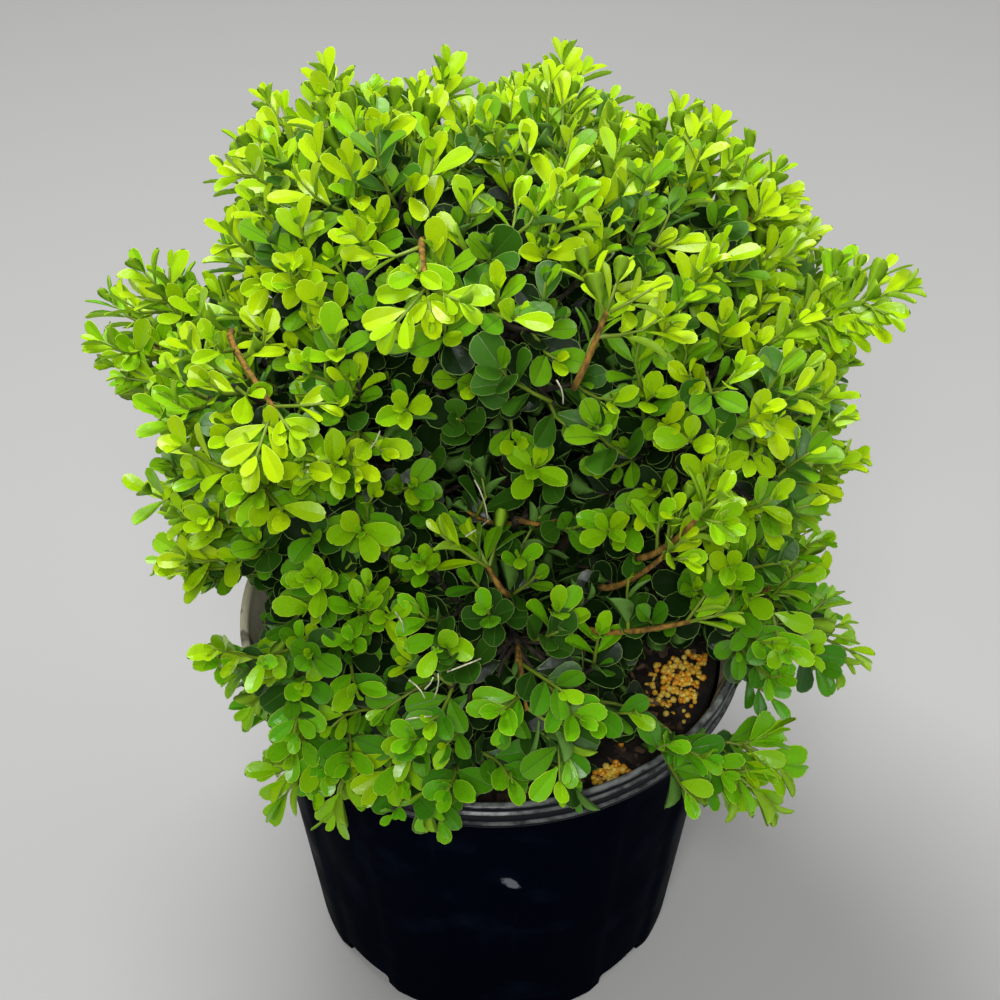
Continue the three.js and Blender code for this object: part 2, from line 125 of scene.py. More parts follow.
class Colours(bpy.types.PropertyGroup):
    plastic: colour_of("Plastic", "Navy black of the pot", (0.0008, 0.0020, 0.0056))
    wall_dust: colour_of("Wall dust", "Thin dust on the wall", (0.06, 0.12, 0.22))
    rim_dust: colour_of("Rim dust", "Thin dust on the rim", (0.30, 0.32, 0.34))
    # Pale colour on the rim's upward ledges: dust, and a painted highlight where they would catch
    # light
    ledge_dust_and_highlight: colour_of("Ledge dust", "Thick dust on the rim's ledges", (0.42, 0.45, 0.43))
    scuff: colour_of("Scuff", "The scuff in front", (0.26, 0.29, 0.32))
    residue: colour_of("Residue", "Dried minerals inside the rim", (0.80, 0.74, 0.54))
    mix: colour_of("Potting mix", "Damp mix", (0.009, 0.006, 0.004))
    chip: colour_of("Bark chip", "Dry bark chips on the mix", (0.060, 0.034, 0.019))
    prill: colour_of("Prill", "Grains of slow fertiliser", (1.0, 0.53, 0.04))
    bark: colour_of("Bark", "Trunk, stems and boughs", (0.085, 0.060, 0.035))
    twig: colour_of("Twig", "Twigs of earlier years", (0.25, 0.13, 0.014))
    fibre: colour_of("Fibre", "Dry fibres caught in the crown", (0.62, 0.60, 0.42))
    shoot: colour_of("Shoot", "Green shoots of this year", (0.20, 0.30, 0.02))
    margin: colour_of("Margin", "Pale edge of an old leaf", (0.17, 0.29, 0.05))
    rib: colour_of("Rib", "Midrib of a grown leaf", (0.075, 0.150, 0.020))
    young_margin: colour_of("Young margin", "Pale edge of a young leaf", (0.50, 0.74, 0.04))
    underside: colour_of("Underside", "Dull underside of a leaf", (0.12, 0.27, 0.04))
    young_underside: colour_of("Young underside", "Underside of a young leaf", (0.28, 0.50, 0.02))


# Shades that leaves are dealt, by the leaf's age: light to dark, and for old ones a dull shade and
# one more, the last, a near-black painted shade for old leaves deep in the crown
LEAF_SHADES = {
    "young": [
        (0.43, 0.64, 0.003), (0.34, 0.59, 0.003), (0.25, 0.54, 0.004), (0.17, 0.49, 0.005),
        (0.12, 0.44, 0.008),
    ],
    "green": [
        (0.18, 0.40, 0.004), (0.14, 0.36, 0.004), (0.10, 0.32, 0.005), (0.072, 0.28, 0.006),
        (0.055, 0.24, 0.008),
    ],
    "old": [
        (0.046, 0.160, 0.006), (0.036, 0.130, 0.006), (0.028, 0.105, 0.006), (0.022, 0.085, 0.006),
        (0.034, 0.105, 0.024), (0.007, 0.024, 0.003),
    ],
}

# The masses of foliage stand in four tiers. Each has an elevation as seen from the heart, the
# radius of the space that a mass keeps to, how far its shoots lift towards the light, how far up
# the stems its boughs leave them, how many twigs a mass has, and the azimuths of its masses.
TIERS = {
    "low": {
        "elevation": -4, "spread": 0.074, "lift": 0.45, "leaves": 0.3, "twigs": 8,
        "azimuths": [-42, -6, 36, 78, 128, 178, 226, 276],
    },
    "mid": {
        "elevation": 28, "spread": 0.086, "lift": 0.35, "leaves": 0.55, "twigs": 7,
        "azimuths": [6, 54, 104, 158, 212, 260, 310],
    },
    "upper": {
        "elevation": 54, "spread": 0.088, "lift": 0.25, "leaves": 0.8, "twigs": 6,
        "azimuths": [8, 58, 112, 172, 222, 300],
    },
    "top": {
        "elevation": 79, "spread": 0.088, "lift": 0.2, "leaves": 0.97, "twigs": 6,
        "azimuths": [14, 134, 254],
    },
}
# Masses that stand out past the globe, or short of it, and how many degrees higher they point
STRAYS = {
    "low_right_front": (0.026, 0), "low_right": (0.016, 0), "low_left_front": (0.012, 0),
    "mid_front": (-0.014, 0), "mid_right": (0.036, 4), "mid_left": (0.030, 8),
    "upper_front": (-0.040, 0), "upper_back": (0.014, 0), "upper_back_left": (0.018, 0),
    "upper_right": (0.010, 0), "top_left": (0.010, -4),
}
SIDES = ["front", "right_front", "right", "back_right", "back", "back_left", "left", "left_front"]
# The widest opening of a mass's twigs from its stem, and how far back from a mass's middle, as a
# share of its spread, its bough enters it
TWIG_OPENING = math.radians(72)
ENTRY_SHARE = 0.6

# Pairs of leaves from a shoot's tip down: how far back they stand, their size as a share of a full
# leaf's, and how many degrees they open
PAIRS = [
    (0.0008, 0.52, 10), (0.0045, 0.82, 24), (0.0125, 1.00, 36), (0.0225, 1.03, 44),
    (0.0330, 1.00, 52), (0.0435, 0.96, 58), (0.0540, 0.92, 64), (0.0650, 0.88, 66),
    (0.0760, 0.86, 68), (0.0870, 0.84, 70),
]
# A leaf's breadth, as a share of a full leaf's, by its age, and its roughness and shine
LEAF_BREADTHS = {"young": 0.86, "green": 1.02, "old": 1.28}
LEAF_GLOSSES = {"young": (0.24, 0.28), "green": (0.28, 0.28), "old": (0.36, 0.26)}
# Leaf forms: how far the sides are cupped up and the tip arched down, and a twist. Each is made
# with a midrib for grown leaves and without one for the rest.
LEAF_FORMS = [(0.13, 0.10, 0.0), (0.22, 0.22, 0.05), (0.07, 0.17, -0.05)]
# How old a shoot's leaves look, in years more or fewer than its place in the crown gives them
TUFT_YEARS, SPRAY_YEARS, GROWN_YEARS, LATE_YEARS, DROOP_YEARS = -1.0, -0.3, 0.0, 0.75, 0.9
# Layers of finer shoots: the deepest and shallowest that their tips lie under the skin, the least
# between tips, how often a place is tried, how far down a shoot has leaves, and whether later
# shoots leave it. The layers that branch come first.
LAYERS = [
    (0.140, 0.088, 0.026, 2500, 0.060, True),
    (0.088, 0.052, 0.023, 3500, 0.060, True),
    (0.054, 0.024, 0.0205, 6000, 0.060, True),
    (0.024, 0.000, 0.0190, 14000, 0.056, False),
    (0.000, -0.009, 0.040, 1500, 0.052, False),
]
BRANCHING_LAYERS = 3
# The least height of a shoot's tip between two azimuths: in front the rim shows, and at its sides
# shoots hang. Elsewhere it is the last.
LOWEST_TIPS = [(-4, 36, 0.243), (-50, 70, 0.232), (-181, 181, 0.245)]
# The front hollow, in which leaves are old and darker, partly as painted shade, and shoots few: the
# azimuth and elevation of each dent as seen from the globe's middle, its depth, its width in
# degrees, and how hollow it looks
HOLLOWS = [
    (7, 24, 0.058, 18, 1), (-10, 36, 0.030, 11, 1), (22, 6, 0.034, 14, 1), (2, -2, 0.024, 12, 1),
    # A shallow dent over the front, there mostly to paint shade on its leaves
    (4, 50, 0.006, 16, 0.45),
]
# Where else the crown draws in: azimuth, elevation, depth and width in degrees
WAISTS = [
    (87, 12, 0.060, 12), (103, 30, 0.046, 8), (145, 53, 0.022, 9), (180, 57, 0.022, 9),
    (-110, 35, 0.042, 12), (-86, 10, 0.066, 14), (-62, -15, 0.038, 13), (-45, -24, 0.026, 9),
    (69, -7, 0.036, 10), (-119, 43, 0.012, 6), (-100, 27, 0.018, 8), (103, 4, 0.024, 12),
    (-66, 22, 0.014, 8), (-122, 27, 0.014, 9), (-91, -35, 0.014, 10), (-99, -2, 0.014, 9),
    (-47, -6, 0.010, 8), (-43, -31, 0.010, 8), (64, -30, 0.012, 9), (177, 44, 0.016, 9),
    (157, 36, 0.012, 9), (34, -28, 0.012, 7), (76, -19, 0.014, 9),
]
# Sprays that stand out of the crown: the tip, and the azimuth and elevation that it points to
SPRAYS = [
    (-0.199, 0.000, 0.428, -95, 28), (-0.188, -0.014, 0.412, -88, 12),
    (-0.176, -0.020, 0.400, -80, 8), (-0.177, 0.031, 0.453, -110, 48),
    (-0.121, 0.073, 0.499, -125, 66), (-0.082, 0.092, 0.526, -140, 74),
    (-0.023, 0.098, 0.526, -160, 78), (0.034, 0.099, 0.530, 170, 80),
    (0.094, 0.083, 0.510, 130, 68), (0.113, 0.077, 0.503, 120, 64), (0.142, 0.062, 0.488, 112, 58),
    (0.160, 0.044, 0.464, 104, 50), (0.208, 0.013, 0.446, 94, 16), (0.191, 0.006, 0.430, 90, 0),
    (0.178, 0.004, 0.412, 88, 30), (0.180, -0.033, 0.369, 76, 22), (0.190, -0.092, 0.292, 66, -10),
    (0.150, -0.132, 0.246, 52, -32), (0.138, -0.150, 0.238, 42, -46),
    (0.103, -0.138, 0.256, 30, -26), (-0.030, -0.160, 0.240, 6, -44),
    (-0.080, -0.156, 0.236, -20, -40), (-0.110, -0.148, 0.240, -38, -26),
    (-0.136, -0.100, 0.284, -60, -14), (-0.128, -0.112, 0.270, -50, -22),
    (-0.172, -0.065, 0.335, -74, 4), (-0.166, -0.048, 0.352, -80, 14),
    (-0.060, -0.160, 0.262, -24, -20), (0.159, -0.056, 0.330, 72, 2),
    (-0.112, -0.112, 0.446, -82, 6), (-0.090, -0.118, 0.436, -70, -4),
]
# Tips of the young tufts in the front hollow
TUFTS = [
    (0.019, -0.097, 0.430), (0.012, -0.108, 0.385), (0.030, -0.125, 0.367), (0.049, -0.125, 0.352),
    (-0.024, -0.145, 0.363), (0.004, -0.152, 0.329), (0.040, -0.154, 0.327), (0.085, -0.104, 0.452),
    (-0.032, -0.119, 0.393), (-0.056, -0.126, 0.384), (0.052, -0.110, 0.403),
    (0.073, -0.117, 0.416),
]
# Old shoots that droop over the rim: the tip, and the azimuth and elevation that it points to
DROOPS = [(0.051, -0.146, 0.255, 16, -48), (0.040, -0.147, 0.260, 8, -42)]
# Stretches of bare brown twig that show between the leaves, from end to end
BARE = [
    (-0.119, -0.055, 0.468, -0.092, -0.098, 0.463), (0.060, -0.115, 0.369, 0.076, -0.119, 0.396),
    (0.076, -0.119, 0.396, 0.090, -0.121, 0.423), (-0.031, -0.046, 0.514, -0.027, -0.074, 0.509),
    (0.041, -0.094, 0.488, 0.048, -0.082, 0.504), (0.003, -0.122, 0.377, -0.002, -0.112, 0.382),
    (0.055, -0.126, 0.348, 0.089, -0.128, 0.363),
]
# Dry fibres caught on the twigs, from end to end
FIBRES = [
    (-0.008, -0.086, 0.411, -0.002, -0.095, 0.395), (-0.012, -0.104, 0.393, -0.001, -0.095, 0.395),
    (-0.037, -0.154, 0.353, -0.030, -0.157, 0.344), (-0.030, -0.156, 0.349, -0.026, -0.154, 0.355),
    (-0.026, -0.156, 0.343, -0.024, -0.152, 0.355), (-0.020, -0.151, 0.355, -0.005, -0.145, 0.357),
    (-0.039, -0.160, 0.333, -0.027, -0.159, 0.334), (-0.053, -0.101, 0.443, -0.048, -0.099, 0.452),
    (0.027, -0.104, 0.485, 0.030, -0.104, 0.472), (-0.043, -0.134, 0.376, -0.039, -0.139, 0.367),
]
# How deep under the skin twigs are kept and take a darker bark, and old leaves take the darkest
# shade: both are painted shade
DEEP_WOOD_DEPTH, SHADED_LEAF_DEPTH = 0.030, 0.026
# How softly the masses' spaces flow together, how far the skin stands outside them, and the
# heights and frequencies of its ripples
MELD = 0.014
SKIN_OFFSET = 0.0135
SKIN_RIPPLES = [(0.010, 3.1), (0.007, 7.3)]
# Openings in the low leafage, through which the mix and the rim show: the place that shows, and the
# radius kept clear in front of it
OPENINGS = [
    (0.102, -0.036, 0.214, 0.022), (0.066, -0.097, 0.214, 0.017), (0.120, -0.052, 0.214, 0.012),
    (0.000, -0.136, 0.230, 0.010), (0.022, -0.135, 0.230, 0.009), (0.070, -0.117, 0.230, 0.007),
    (0.078, -0.112, 0.230, 0.010), (-0.132, 0.006, 0.237, 0.009), (-0.130, -0.018, 0.237, 0.009),
]
# Where the grains of fertiliser lie thick: a place on the mix, and a radius
HEAPS = [(0.100, -0.040, 0.020), (0.106, -0.030, 0.016), (0.062, -0.100, 0.011)]
# The camera's place, from which the openings are seen through
EYE = Vector((0.0035, -0.737, 1.027))

# Growth


def seeded(seed):
    """Repeatable numbers from 0 to 1, the same ones for the same seed."""
    state = seed

    def draw():
        nonlocal state
        state = (state * 1664525 + 1013904223) % 4294967296
        return state / 4294967296

    return draw


def mix_top(pot):
    return pot.height - pot.mix_below_rim + pot.mix_mound


def heading(azimuth, elevation):
    """A unit vector at an azimuth from the front and an elevation, both in degrees."""
    turn, rise = math.radians(azimuth), math.radians(elevation)
    return Vector(
        (math.sin(turn) * math.cos(rise), -math.cos(turn) * math.cos(rise), math.sin(rise))
    )


def turned(vector, axis, angle):
    return Quaternion(axis, angle) @ vector


class Limb:
    """A curve from a foot over one bend to a tip, walked by its length, and its two radii."""

    STEPS = 16

    def __init__(self, foot, bend, tip, radius=0.0, tip_radius=0.0):
        self.foot, self.bend, self.tip = foot, bend, tip
        self.radius, self.tip_radius = radius, tip_radius
        points = [self.place(i / self.STEPS) for i in range(self.STEPS + 1)]
        self.walked = [0.0]
        for before, after in zip(points, points[1:]):
            self.walked.append(self.walked[-1] + (after - before).length)
        self.length = self.walked[-1]

    def place(self, t):
        return self.foot * (1 - t) ** 2 + self.bend * (2 * t * (1 - t)) + self.tip * t**2

    def raw(self, share):
        """The curve's own parameter at a share of its length."""
        want = min(max(share, 0.0), 1.0) * self.length
        last = self.STEPS - 1
        i = next((i for i in range(last) if want <= self.walked[i + 1]), last)
        span = self.walked[i + 1] - self.walked[i]
        part = (want - self.walked[i]) / span if span else 0.0
        return (i + part) / self.STEPS

    def at(self, share):
        return self.place(self.raw(share))

    def ahead(self, share):
        t = self.raw(share)
        return ((self.bend - self.foot) * (1 - t) + (self.tip - self.bend) * t).normalized()


def straight(foot, tip, radius=0.0, tip_radius=0.0):
    return Limb(foot, (foot + tip) / 2, tip, radius, tip_radius)


class Mass:
    """A mass of foliage: its name, tier, middle, facing, axis, base, stem and space."""

    def __init__(self, name, tier, seed, middle, spread, axis, face, base, stem):
        self.name, self.tier, self.seed = name, tier, seed
        self.middle, self.spread = middle, spread
        self.axis, self.face, self.base, self.stem = axis, face, base, stem
        self.borders = []

    def meet(self, others):
        """Set the flat borders between this mass's space and its neighbours'."""
        for other in others:
            if other is not self:
                between = other.middle - self.middle
                apart = between.length
                border = apart * self.spread / (self.spread + other.spread)
                self.borders.append((between / apart, border))

    def holds(self, point):
        """Whether a point lies in this mass's space."""
        away = point - self.middle
        if away.length > self.spread:
            return False
        return all(away.dot(toward) <= border for toward, border in self.borders)

    def leader(self):
        """The mass's own stem, from just clear of its bough to a little past its middle."""
        start = self.base + self.axis * 0.0003
        return straight(start, self.middle + self.axis * (0.1 * self.spread))


class Crown:
    """The shrub's limbs and masses, worked out from the same sizes as the frame's solids."""

    def __init__(self, pot, sizes):
        self.pot, self.sizes = pot, sizes
        self.globe_middle = Vector((0, 0, pot.height + sizes.globe_above_rim))
        mix = pot.height - pot.mix_below_rim
        self.heart = Vector((0, 0, mix + sizes.heart_above_mix))
        self.stems = self.stem_limbs()
        self.masses = self.all_masses()
        for mass in self.masses:
            mass.meet(self.masses)

    def trunk(self):
        foot = Vector((0, 0, mix_top(self.pot) + 0.0003))
        rise, lean = self.sizes.trunk_height, self.sizes.trunk_lean
        head = foot + Vector((lean, -lean / 2, rise))
        return Limb(foot, foot + UP * (rise / 2), head, self.sizes.trunk_radius)

    def stem_limbs(self):
        sizes, stems = self.sizes, []
        first_azimuth, lean = 8, sizes.trunk_lean
        for i in range(sizes.stems):
            azimuth = first_azimuth + i * 360 / sizes.stems
            out = heading(azimuth, 0)
            foot = Vector((lean, -lean / 2, mix_top(self.pot) + sizes.trunk_height - 0.009))
            foot += out * 0.004
            tip = self.heart + out * sizes.stem_spread
            tip.z = foot.z + sizes.stem_rise + 0.005 * math.cos(2 * i)
            bend = foot + out * (sizes.stem_spread * 0.75) + UP * (sizes.stem_rise * 0.3)
            limb = Limb(foot, bend, tip, sizes.stem_radius, sizes.stem_tip_radius)
            stems.append((azimuth, limb))
        return stems

    def reach(self, elevation):
        """From the heart to the globe at an elevation."""
        below = self.globe_middle.z - self.heart.z
        rise = math.radians(elevation)
        across = self.sizes.globe_radius**2 - (below * math.cos(rise)) ** 2
        return below * math.sin(rise) + math.sqrt(across)

    def all_masses(self):
        masses = []
        for tier, facts in TIERS.items():
            for azimuth in facts["azimuths"]:
                side = SIDES[int(math.floor((azimuth % 360) / 45 + 0.5)) % len(SIDES)]
                name = f"{tier}_{side}"
                stray, rise = STRAYS.get(name, (0.0, 0))
                elevation = facts["elevation"] + rise
                out = heading(azimuth, elevation)
                spread = facts["spread"] - abs(0.5 * stray)
                middle = self.heart + out * (self.reach(elevation) + stray - spread)
                axis = (out + UP * 0.12).normalized()
                face = (middle - self.globe_middle).normalized() + UP * facts["lift"]
                base = middle - axis * (ENTRY_SHARE * spread)
                stem = min(self.stems, key=lambda s: abs((s[0] - azimuth + 540) % 360 - 180))[1]
                seed, face = len(masses) + 1, face.normalized()
                masses.append(Mass(name, tier, seed, middle, spread, axis, face, base, stem))
        return masses

    def bough(self, mass):
        foot = mass.stem.at(TIERS[mass.tier]["leaves"])
        bend = mass.base - mass.axis * (0.45 * (foot - mass.base).length)
        return Limb(foot, bend, mass.base, self.sizes.bough_radius, self.sizes.bough_tip_radius)

    def clear_of_pot(self, point, gap=0.0015):
        """Whether a point keeps clear of the pot and of the potting mix in it."""
        pot, across = self.pot, math.hypot(point.x, point.y)
        if point.z > pot.height + gap or across > pot.rim_radius + gap:
            return True
        return across < pot.rim_radius - 0.005 - gap and point.z > mix_top(pot) + 0.002

    def owner(self, point):
        """The mass in whose space, or nearest to whose space, a point lies."""
        return min(self.masses, key=lambda mass: (point - mass.middle).length - mass.spread)


def twig_limbs(mass, crown):
    """The source's twigs: at golden turns from the mass's stem, the first straight out."""
    random = seeded(mass.seed * 7919)
    aside = mass.face.cross(UP).normalized()
    stem, twigs = mass.leader(), []
    roll = random() * 2 * math.pi
    count = TIERS[mass.tier]["twigs"]
    for i in range(count):
        turn = roll + i * GOLDEN_TURN + 0.3 * (random() - 0.5)
        opening = TWIG_OPENING * math.sqrt((i + 0.2) / count)
        share = 0.9 + 0.1 * random()
        side = turned(aside, mass.face, turn)
        heads = mass.face * math.cos(opening) + side * math.sin(opening)
        foot = stem.place(0.96 - 0.5 * i / count)
        limb = longest(foot, heads, mass, crown, share)
        if limb:
            limb.radius, limb.tip_radius = crown.sizes.twig_radius, crown.sizes.twig_tip_radius
            twigs.append(limb)
    return twigs


def longest(foot, heads, mass, crown, share):
    """A share of the longest limb along a heading that keeps to its mass's space, if any does."""
    lift, leaf_room, length = 0.08, 0.012, 2 * mass.spread
    while length >= 0.014:
        tip = foot + heads * length + UP * (lift * length)
        past = tip + (tip - foot).normalized() * leaf_room
        if mass.holds(past) and crown.clear_of_pot(past) and crown.clear_of_pot(tip, 0.004):
            tip = foot + heads * (length * share) + UP * (lift * length * share)
            bend = foot + heads * (0.5 * (tip - foot).length)
            return Limb(foot, bend, tip)
        length -= 0.002
    return None


def lowest(place):
    """The least height of a shoot's tip on this side of the crown."""
    azimuth = math.degrees(math.atan2(place.x, -place.y))
    return next(least for start, end, least in LOWEST_TIPS if start < azimuth < end)


def side_of(ahead, turn):
    """The side of a limb at a turn round it, from level."""
    return turned(ahead.cross(UP).normalized(), ahead, turn)


class Skin:
    """The crown's outer surface, seen from the globe's middle: the masses' spaces flow together."""

    ACROSS, UPWARD = 120, 61
    NEAREST, FURTHEST, HALVINGS = 0.05, 0.32, 12

    def __init__(self, crown):
        self.middle = crown.globe_middle
        self.middles = np.array([mass.middle[:] for mass in crown.masses])
        self.spreads = np.array([mass.spread for mass in crown.masses])
        turns = np.radians(np.arange(self.ACROSS) * 360 / self.ACROSS)
        rises = np.radians(np.linspace(-90, 90, self.UPWARD))
        turn, rise = np.meshgrid(turns, rises, indexing="ij")
        rays = np.stack(
            [np.sin(turn) * np.cos(rise), -np.cos(turn) * np.cos(rise), np.sin(rise)], axis=-1
        )
        near, far = np.full(turn.shape, self.NEAREST), np.full(turn.shape, self.FURTHEST)
        for _ in range(self.HALVINGS):
            half = (near + far) / 2
            inside = self.distance(np.array(self.middle[:]) + rays * half[..., None]) < 0
            near, far = np.where(inside, half, near), np.where(inside, far, half)
        for azimuth, elevation, depth, width, *_ in HOLLOWS + WAISTS:
            ray = np.array(heading(azimuth, elevation)[:])
            off = np.degrees(np.arccos(np.clip(rays @ ray, -1, 1)))
            near = near - depth * np.exp(-((off / width) ** 2))
        for index in np.ndindex(near.shape):
            ray = Vector(rays[index])
            near[index] += sum(high * noise.noise(ray * often) for high, often in SKIN_RIPPLES)
        self.reach = near

    def distance(self, points):
        """Distance out of the masses' spaces, which flow together where they meet."""
        off = np.linalg.norm(points[..., None, :] - self.middles, axis=-1) - self.spreads
        return SKIN_OFFSET - MELD * np.log(np.exp(-off / MELD).sum(axis=-1))

    def out(self, point):
        """Which way is outwards at a point."""
        steps = np.array(point[:]) + np.concatenate([np.eye(3), -np.eye(3)]) * 0.002
        off = self.distance(steps)
        return Vector(off[:3] - off[3:]).normalized()

    def radius(self, ray):
        """From the globe's middle to the skin along a ray, read between the nearest samples."""
        across = (math.degrees(math.atan2(ray.x, -ray.y)) % 360) * self.ACROSS / 360
        upward = (math.degrees(math.asin(min(max(ray.z, -1), 1))) + 90) * (self.UPWARD - 1) / 180
        i, j = int(across), min(int(upward), self.UPWARD - 2)
        u, v, k = across - i, upward - j, (i + 1) % self.ACROSS
        i %= self.ACROSS
        low = self.reach[i, j] * (1 - u) + self.reach[k, j] * u
        high = self.reach[i, j + 1] * (1 - u) + self.reach[k, j + 1] * u
        return low * (1 - v) + high * v

    def depth(self, point):
        """How far under the skin a point lies, below zero outside it."""
        away = point - self.middle
        return self.radius(away.normalized()) - away.length


class Grid:
    """Points kept by cells, to find which are near another."""

    def __init__(self, cell):
        self.cell, self.cells = cell, {}

    def key(self, point):
        return tuple(int(math.floor(c / self.cell)) for c in point)

    def near(self, point, least):
        x, y, z = self.key(point)
        for dx in (-1, 0, 1):
            for dy in (-1, 0, 1):
                for dz in (-1, 0, 1):
                    for other in self.cells.get((x + dx, y + dy, z + dz), ()):
                        if (point - other).length < least:
                            return True
        return False

    def add(self, point):
        self.cells.setdefault(self.key(point), []).append(point)


class Leaf(NamedTuple):
    """One leaf: how it is made, and its root, directions and size."""

    tier: str
    age: str
    form: int
    shade: int
    root: Vector
    heads: Vector
    across: Vector
    length: float
    broad: float


class Foliage:
    """Everything that grows from the masses' stems: twigs, shoots and the leaves on them.

    The source's twigs come first. Finer shoots then grow in layers, each from the nearest wood
    below to a place of its own nearer the light, so that the spaces fill evenly.
    """

    SHOOT_RADIUS = 0.0011
    NODE_GAP = 0.007  # between the places that shoots may grow from
    LONGEST_SHOOT, REUSE_COST, TOO_DEAR = 0.13, 0.020, 1e3
    SHORT_LEAFY, LONG_LEAFY = 0.030, 0.062  # how far down from its tip a shoot has leaves
    # The steepest that a spray's side shoots still lie level, and a shoot's leaves
    STEEP, FLAT = 0.6, 0.45
    # From a spray's tip back to each pair of its side shoots, and their length
    SIDE_SHOOTS = [(0.022, 0.016), (0.036, 0.022), (0.052, 0.028)]
    # How much older each pair of leaves looks than the one above it, how deep under the skin a
    # leaf looks a year older, and the years until which it looks young and green
    PAIR_YEARS, YEAR_DEPTH, YOUNG_UNTIL, GREEN_UNTIL = 0.17, 0.040, 0.95, 1.45

    def __init__(self, crown, sizes):
        self.crown, self.sizes = crown, sizes
        self.skin = Skin(crown)
        self.twigs, self.shoots, self.leaves = [], [], []
        self.nodes, self.headings, self.uses = [], [], []
        self.leaf_grid = Grid(0.006)
        self.random = seeded(20411)
        spots = [(Vector((x, y, z)), radius) for x, y, z, radius in OPENINGS]
        self.openings = [(spot, (EYE - spot).normalized(), radius) for spot, radius in spots]
        self.bare = [self.bare_twig(Vector(line[:3]), Vector(line[3:])) for line in BARE]
        self.bare_spots = [limb.at(share) for limb in self.bare for share in (0.4, 0.6)]
        self.twigs += self.bare
        for mass in crown.masses:
            self.keep_twigs(mass)
        for layer in LAYERS[:BRANCHING_LAYERS]:
            self.grow_layer(*layer)
        for limb in self.bare:
            self.fork(limb)
        self.survey()
        for *place, azimuth, elevation in SPRAYS:
            heads = heading(azimuth, elevation)
            self.grow_spray(Vector(place) - heads * 0.014, heads)
        for x, y, z in TUFTS:
            heads = (Vector((0.5 * x, -0.6, 0.9)) + self.stray() * 0.3).normalized()
            self.grow_shoot(Vector((x, y, z)), heads, TUFT_YEARS)
        for *place, azimuth, elevation in DROOPS:
            self.grow_shoot(Vector(place), heading(azimuth, elevation), DROOP_YEARS)
        for layer in LAYERS[BRANCHING_LAYERS:]:
            self.grow_layer(*layer)

    def bare_twig(self, start, end):
        """A twig that rises out of the crown and runs bare to where it forks."""
        inwards = (self.skin.middle - start).normalized()
        along = (end - start).normalized()
        foot = start - along * 0.010 + inwards * 0.012
        return Limb(foot, start - along * 0.002 + inwards * 0.001, end, 0.0017, 0.0011)

    def fork(self, limb):
        """Young shoots from a bare twig's tip, onward and to both sides."""
        self.add_nodes(limb, 0.3, 0.9)
        self.side_shoots(limb, 0.96, 0.4, 0.024)
        onward = straight(limb.at(0.97), limb.tip + limb.ahead(1) * 0.016, 0.0010, 0.0006)
        self.shoots.append(onward)
        self.dress(onward, self.SHORT_LEAFY, SPRAY_YEARS)

    def keep_twigs(self, mass):
        """Keep a mass's stem and twigs where they are well inside and clear of the openings."""
        leader = mass.leader()
        leader.radius, leader.tip_radius = self.crown.sizes.bough_tip_radius, 0.0016
        for limb in (leader, *twig_limbs(mass, self.crown)):
            limb = self.trimmed(limb)
            if self.skin.depth(limb.foot) > DEEP_WOOD_DEPTH and not self.crosses_opening(limb):
                self.twigs.append(limb)
                self.add_nodes(limb, 0.1, 0.95)

    def trimmed(self, limb):
        """A limb, stopped a little below the skin."""
        while limb.length > 0.02 and self.skin.depth(limb.tip) < 0.016:
            share = 1 - 0.006 / limb.length
            bend = limb.foot.lerp(limb.bend, share)
            limb = Limb(limb.foot, bend, limb.at(share), limb.radius, limb.tip_radius)
        return limb

    def survey(self):
        """Take stock of the wood that the next shoots may grow from."""
        self.stock = np.array(self.nodes), np.array(self.headings)

    def add_nodes(self, limb, first, last):
        """Places along a limb, between two shares of its length, that shoots may grow from."""
        steps = max(1, int(limb.length * (last - first) / self.NODE_GAP))
        for i in range(steps + 1):
            share = first + (last - first) * i / steps
            self.nodes.append(limb.at(share)[:])
            self.headings.append(limb.ahead(share)[:])
            self.uses.append(0)

    def grow_layer(self, deepest, shallowest, gap, tries, leafy, branches):
        """Shoots to tips scattered between two depths, from the deepest up."""
        tips = self.scatter_tips(deepest, shallowest, gap, tries)
        self.survey()
        for depth, tip in sorted(tips, key=lambda pair: -pair[0]):
            out = self.skin.out(tip)
            rise = 0.75 if tip.z > self.skin.middle.z - 0.03 else 0.35
            heads = (out * 0.8 + UP * rise + self.stray() * 0.7).normalized()
            shoot = self.limb_to(tip, heads, 0.018, 0.0015 if branches else self.SHOOT_RADIUS)
            if shoot is None:
                continue
            (self.twigs if branches else self.shoots).append(shoot)
            if branches:
                self.add_nodes(shoot, 0.25, 0.8)
            self.dress(shoot, leafy, LATE_YEARS if self.random() < 0.2 else GROWN_YEARS)

    def scatter_tips(self, deepest, shallowest, gap, tries):
        """Depths and places for shoots' tips, a gap apart, and wider in the hollow and low down."""
        random, grid, tips = self.random, Grid(gap), []
        for _ in range(tries):
            azimuth, rise = 360 * random(), math.degrees(math.asin(2 * random() - 1))
            ray = heading(azimuth, rise)
            depth = shallowest + (deepest - shallowest) * random() ** 1.6
            tip = self.skin.middle + ray * (self.skin.radius(ray) - depth)
            if not self.crown.clear_of_pot(tip, 0.006) or self.in_opening(tip, 0.006):
                continue
            sparse = 1 + 0.28 * self.low(tip) + 0.9 * self.in_hollow(tip) * (depth < 0.09)
            if tip.z < lowest(tip) or grid.near(tip, gap * sparse * (0.85 + 0.3 * random())):
                continue
            grid.add(tip)
            tips.append((depth, tip))
        return tips

    def stray(self):
        """A small vector to any side."""
        return Vector([self.random() - 0.5 for _ in range(3)])

    def grow_shoot(self, tip, heads, years):
        """A short leafy shoot to a tip of its own."""
        shoot = self.limb_to(tip, heads, 0.02, self.SHOOT_RADIUS)
        if shoot:
            self.shoots.append(shoot)
            self.dress(shoot, self.SHORT_LEAFY, years)

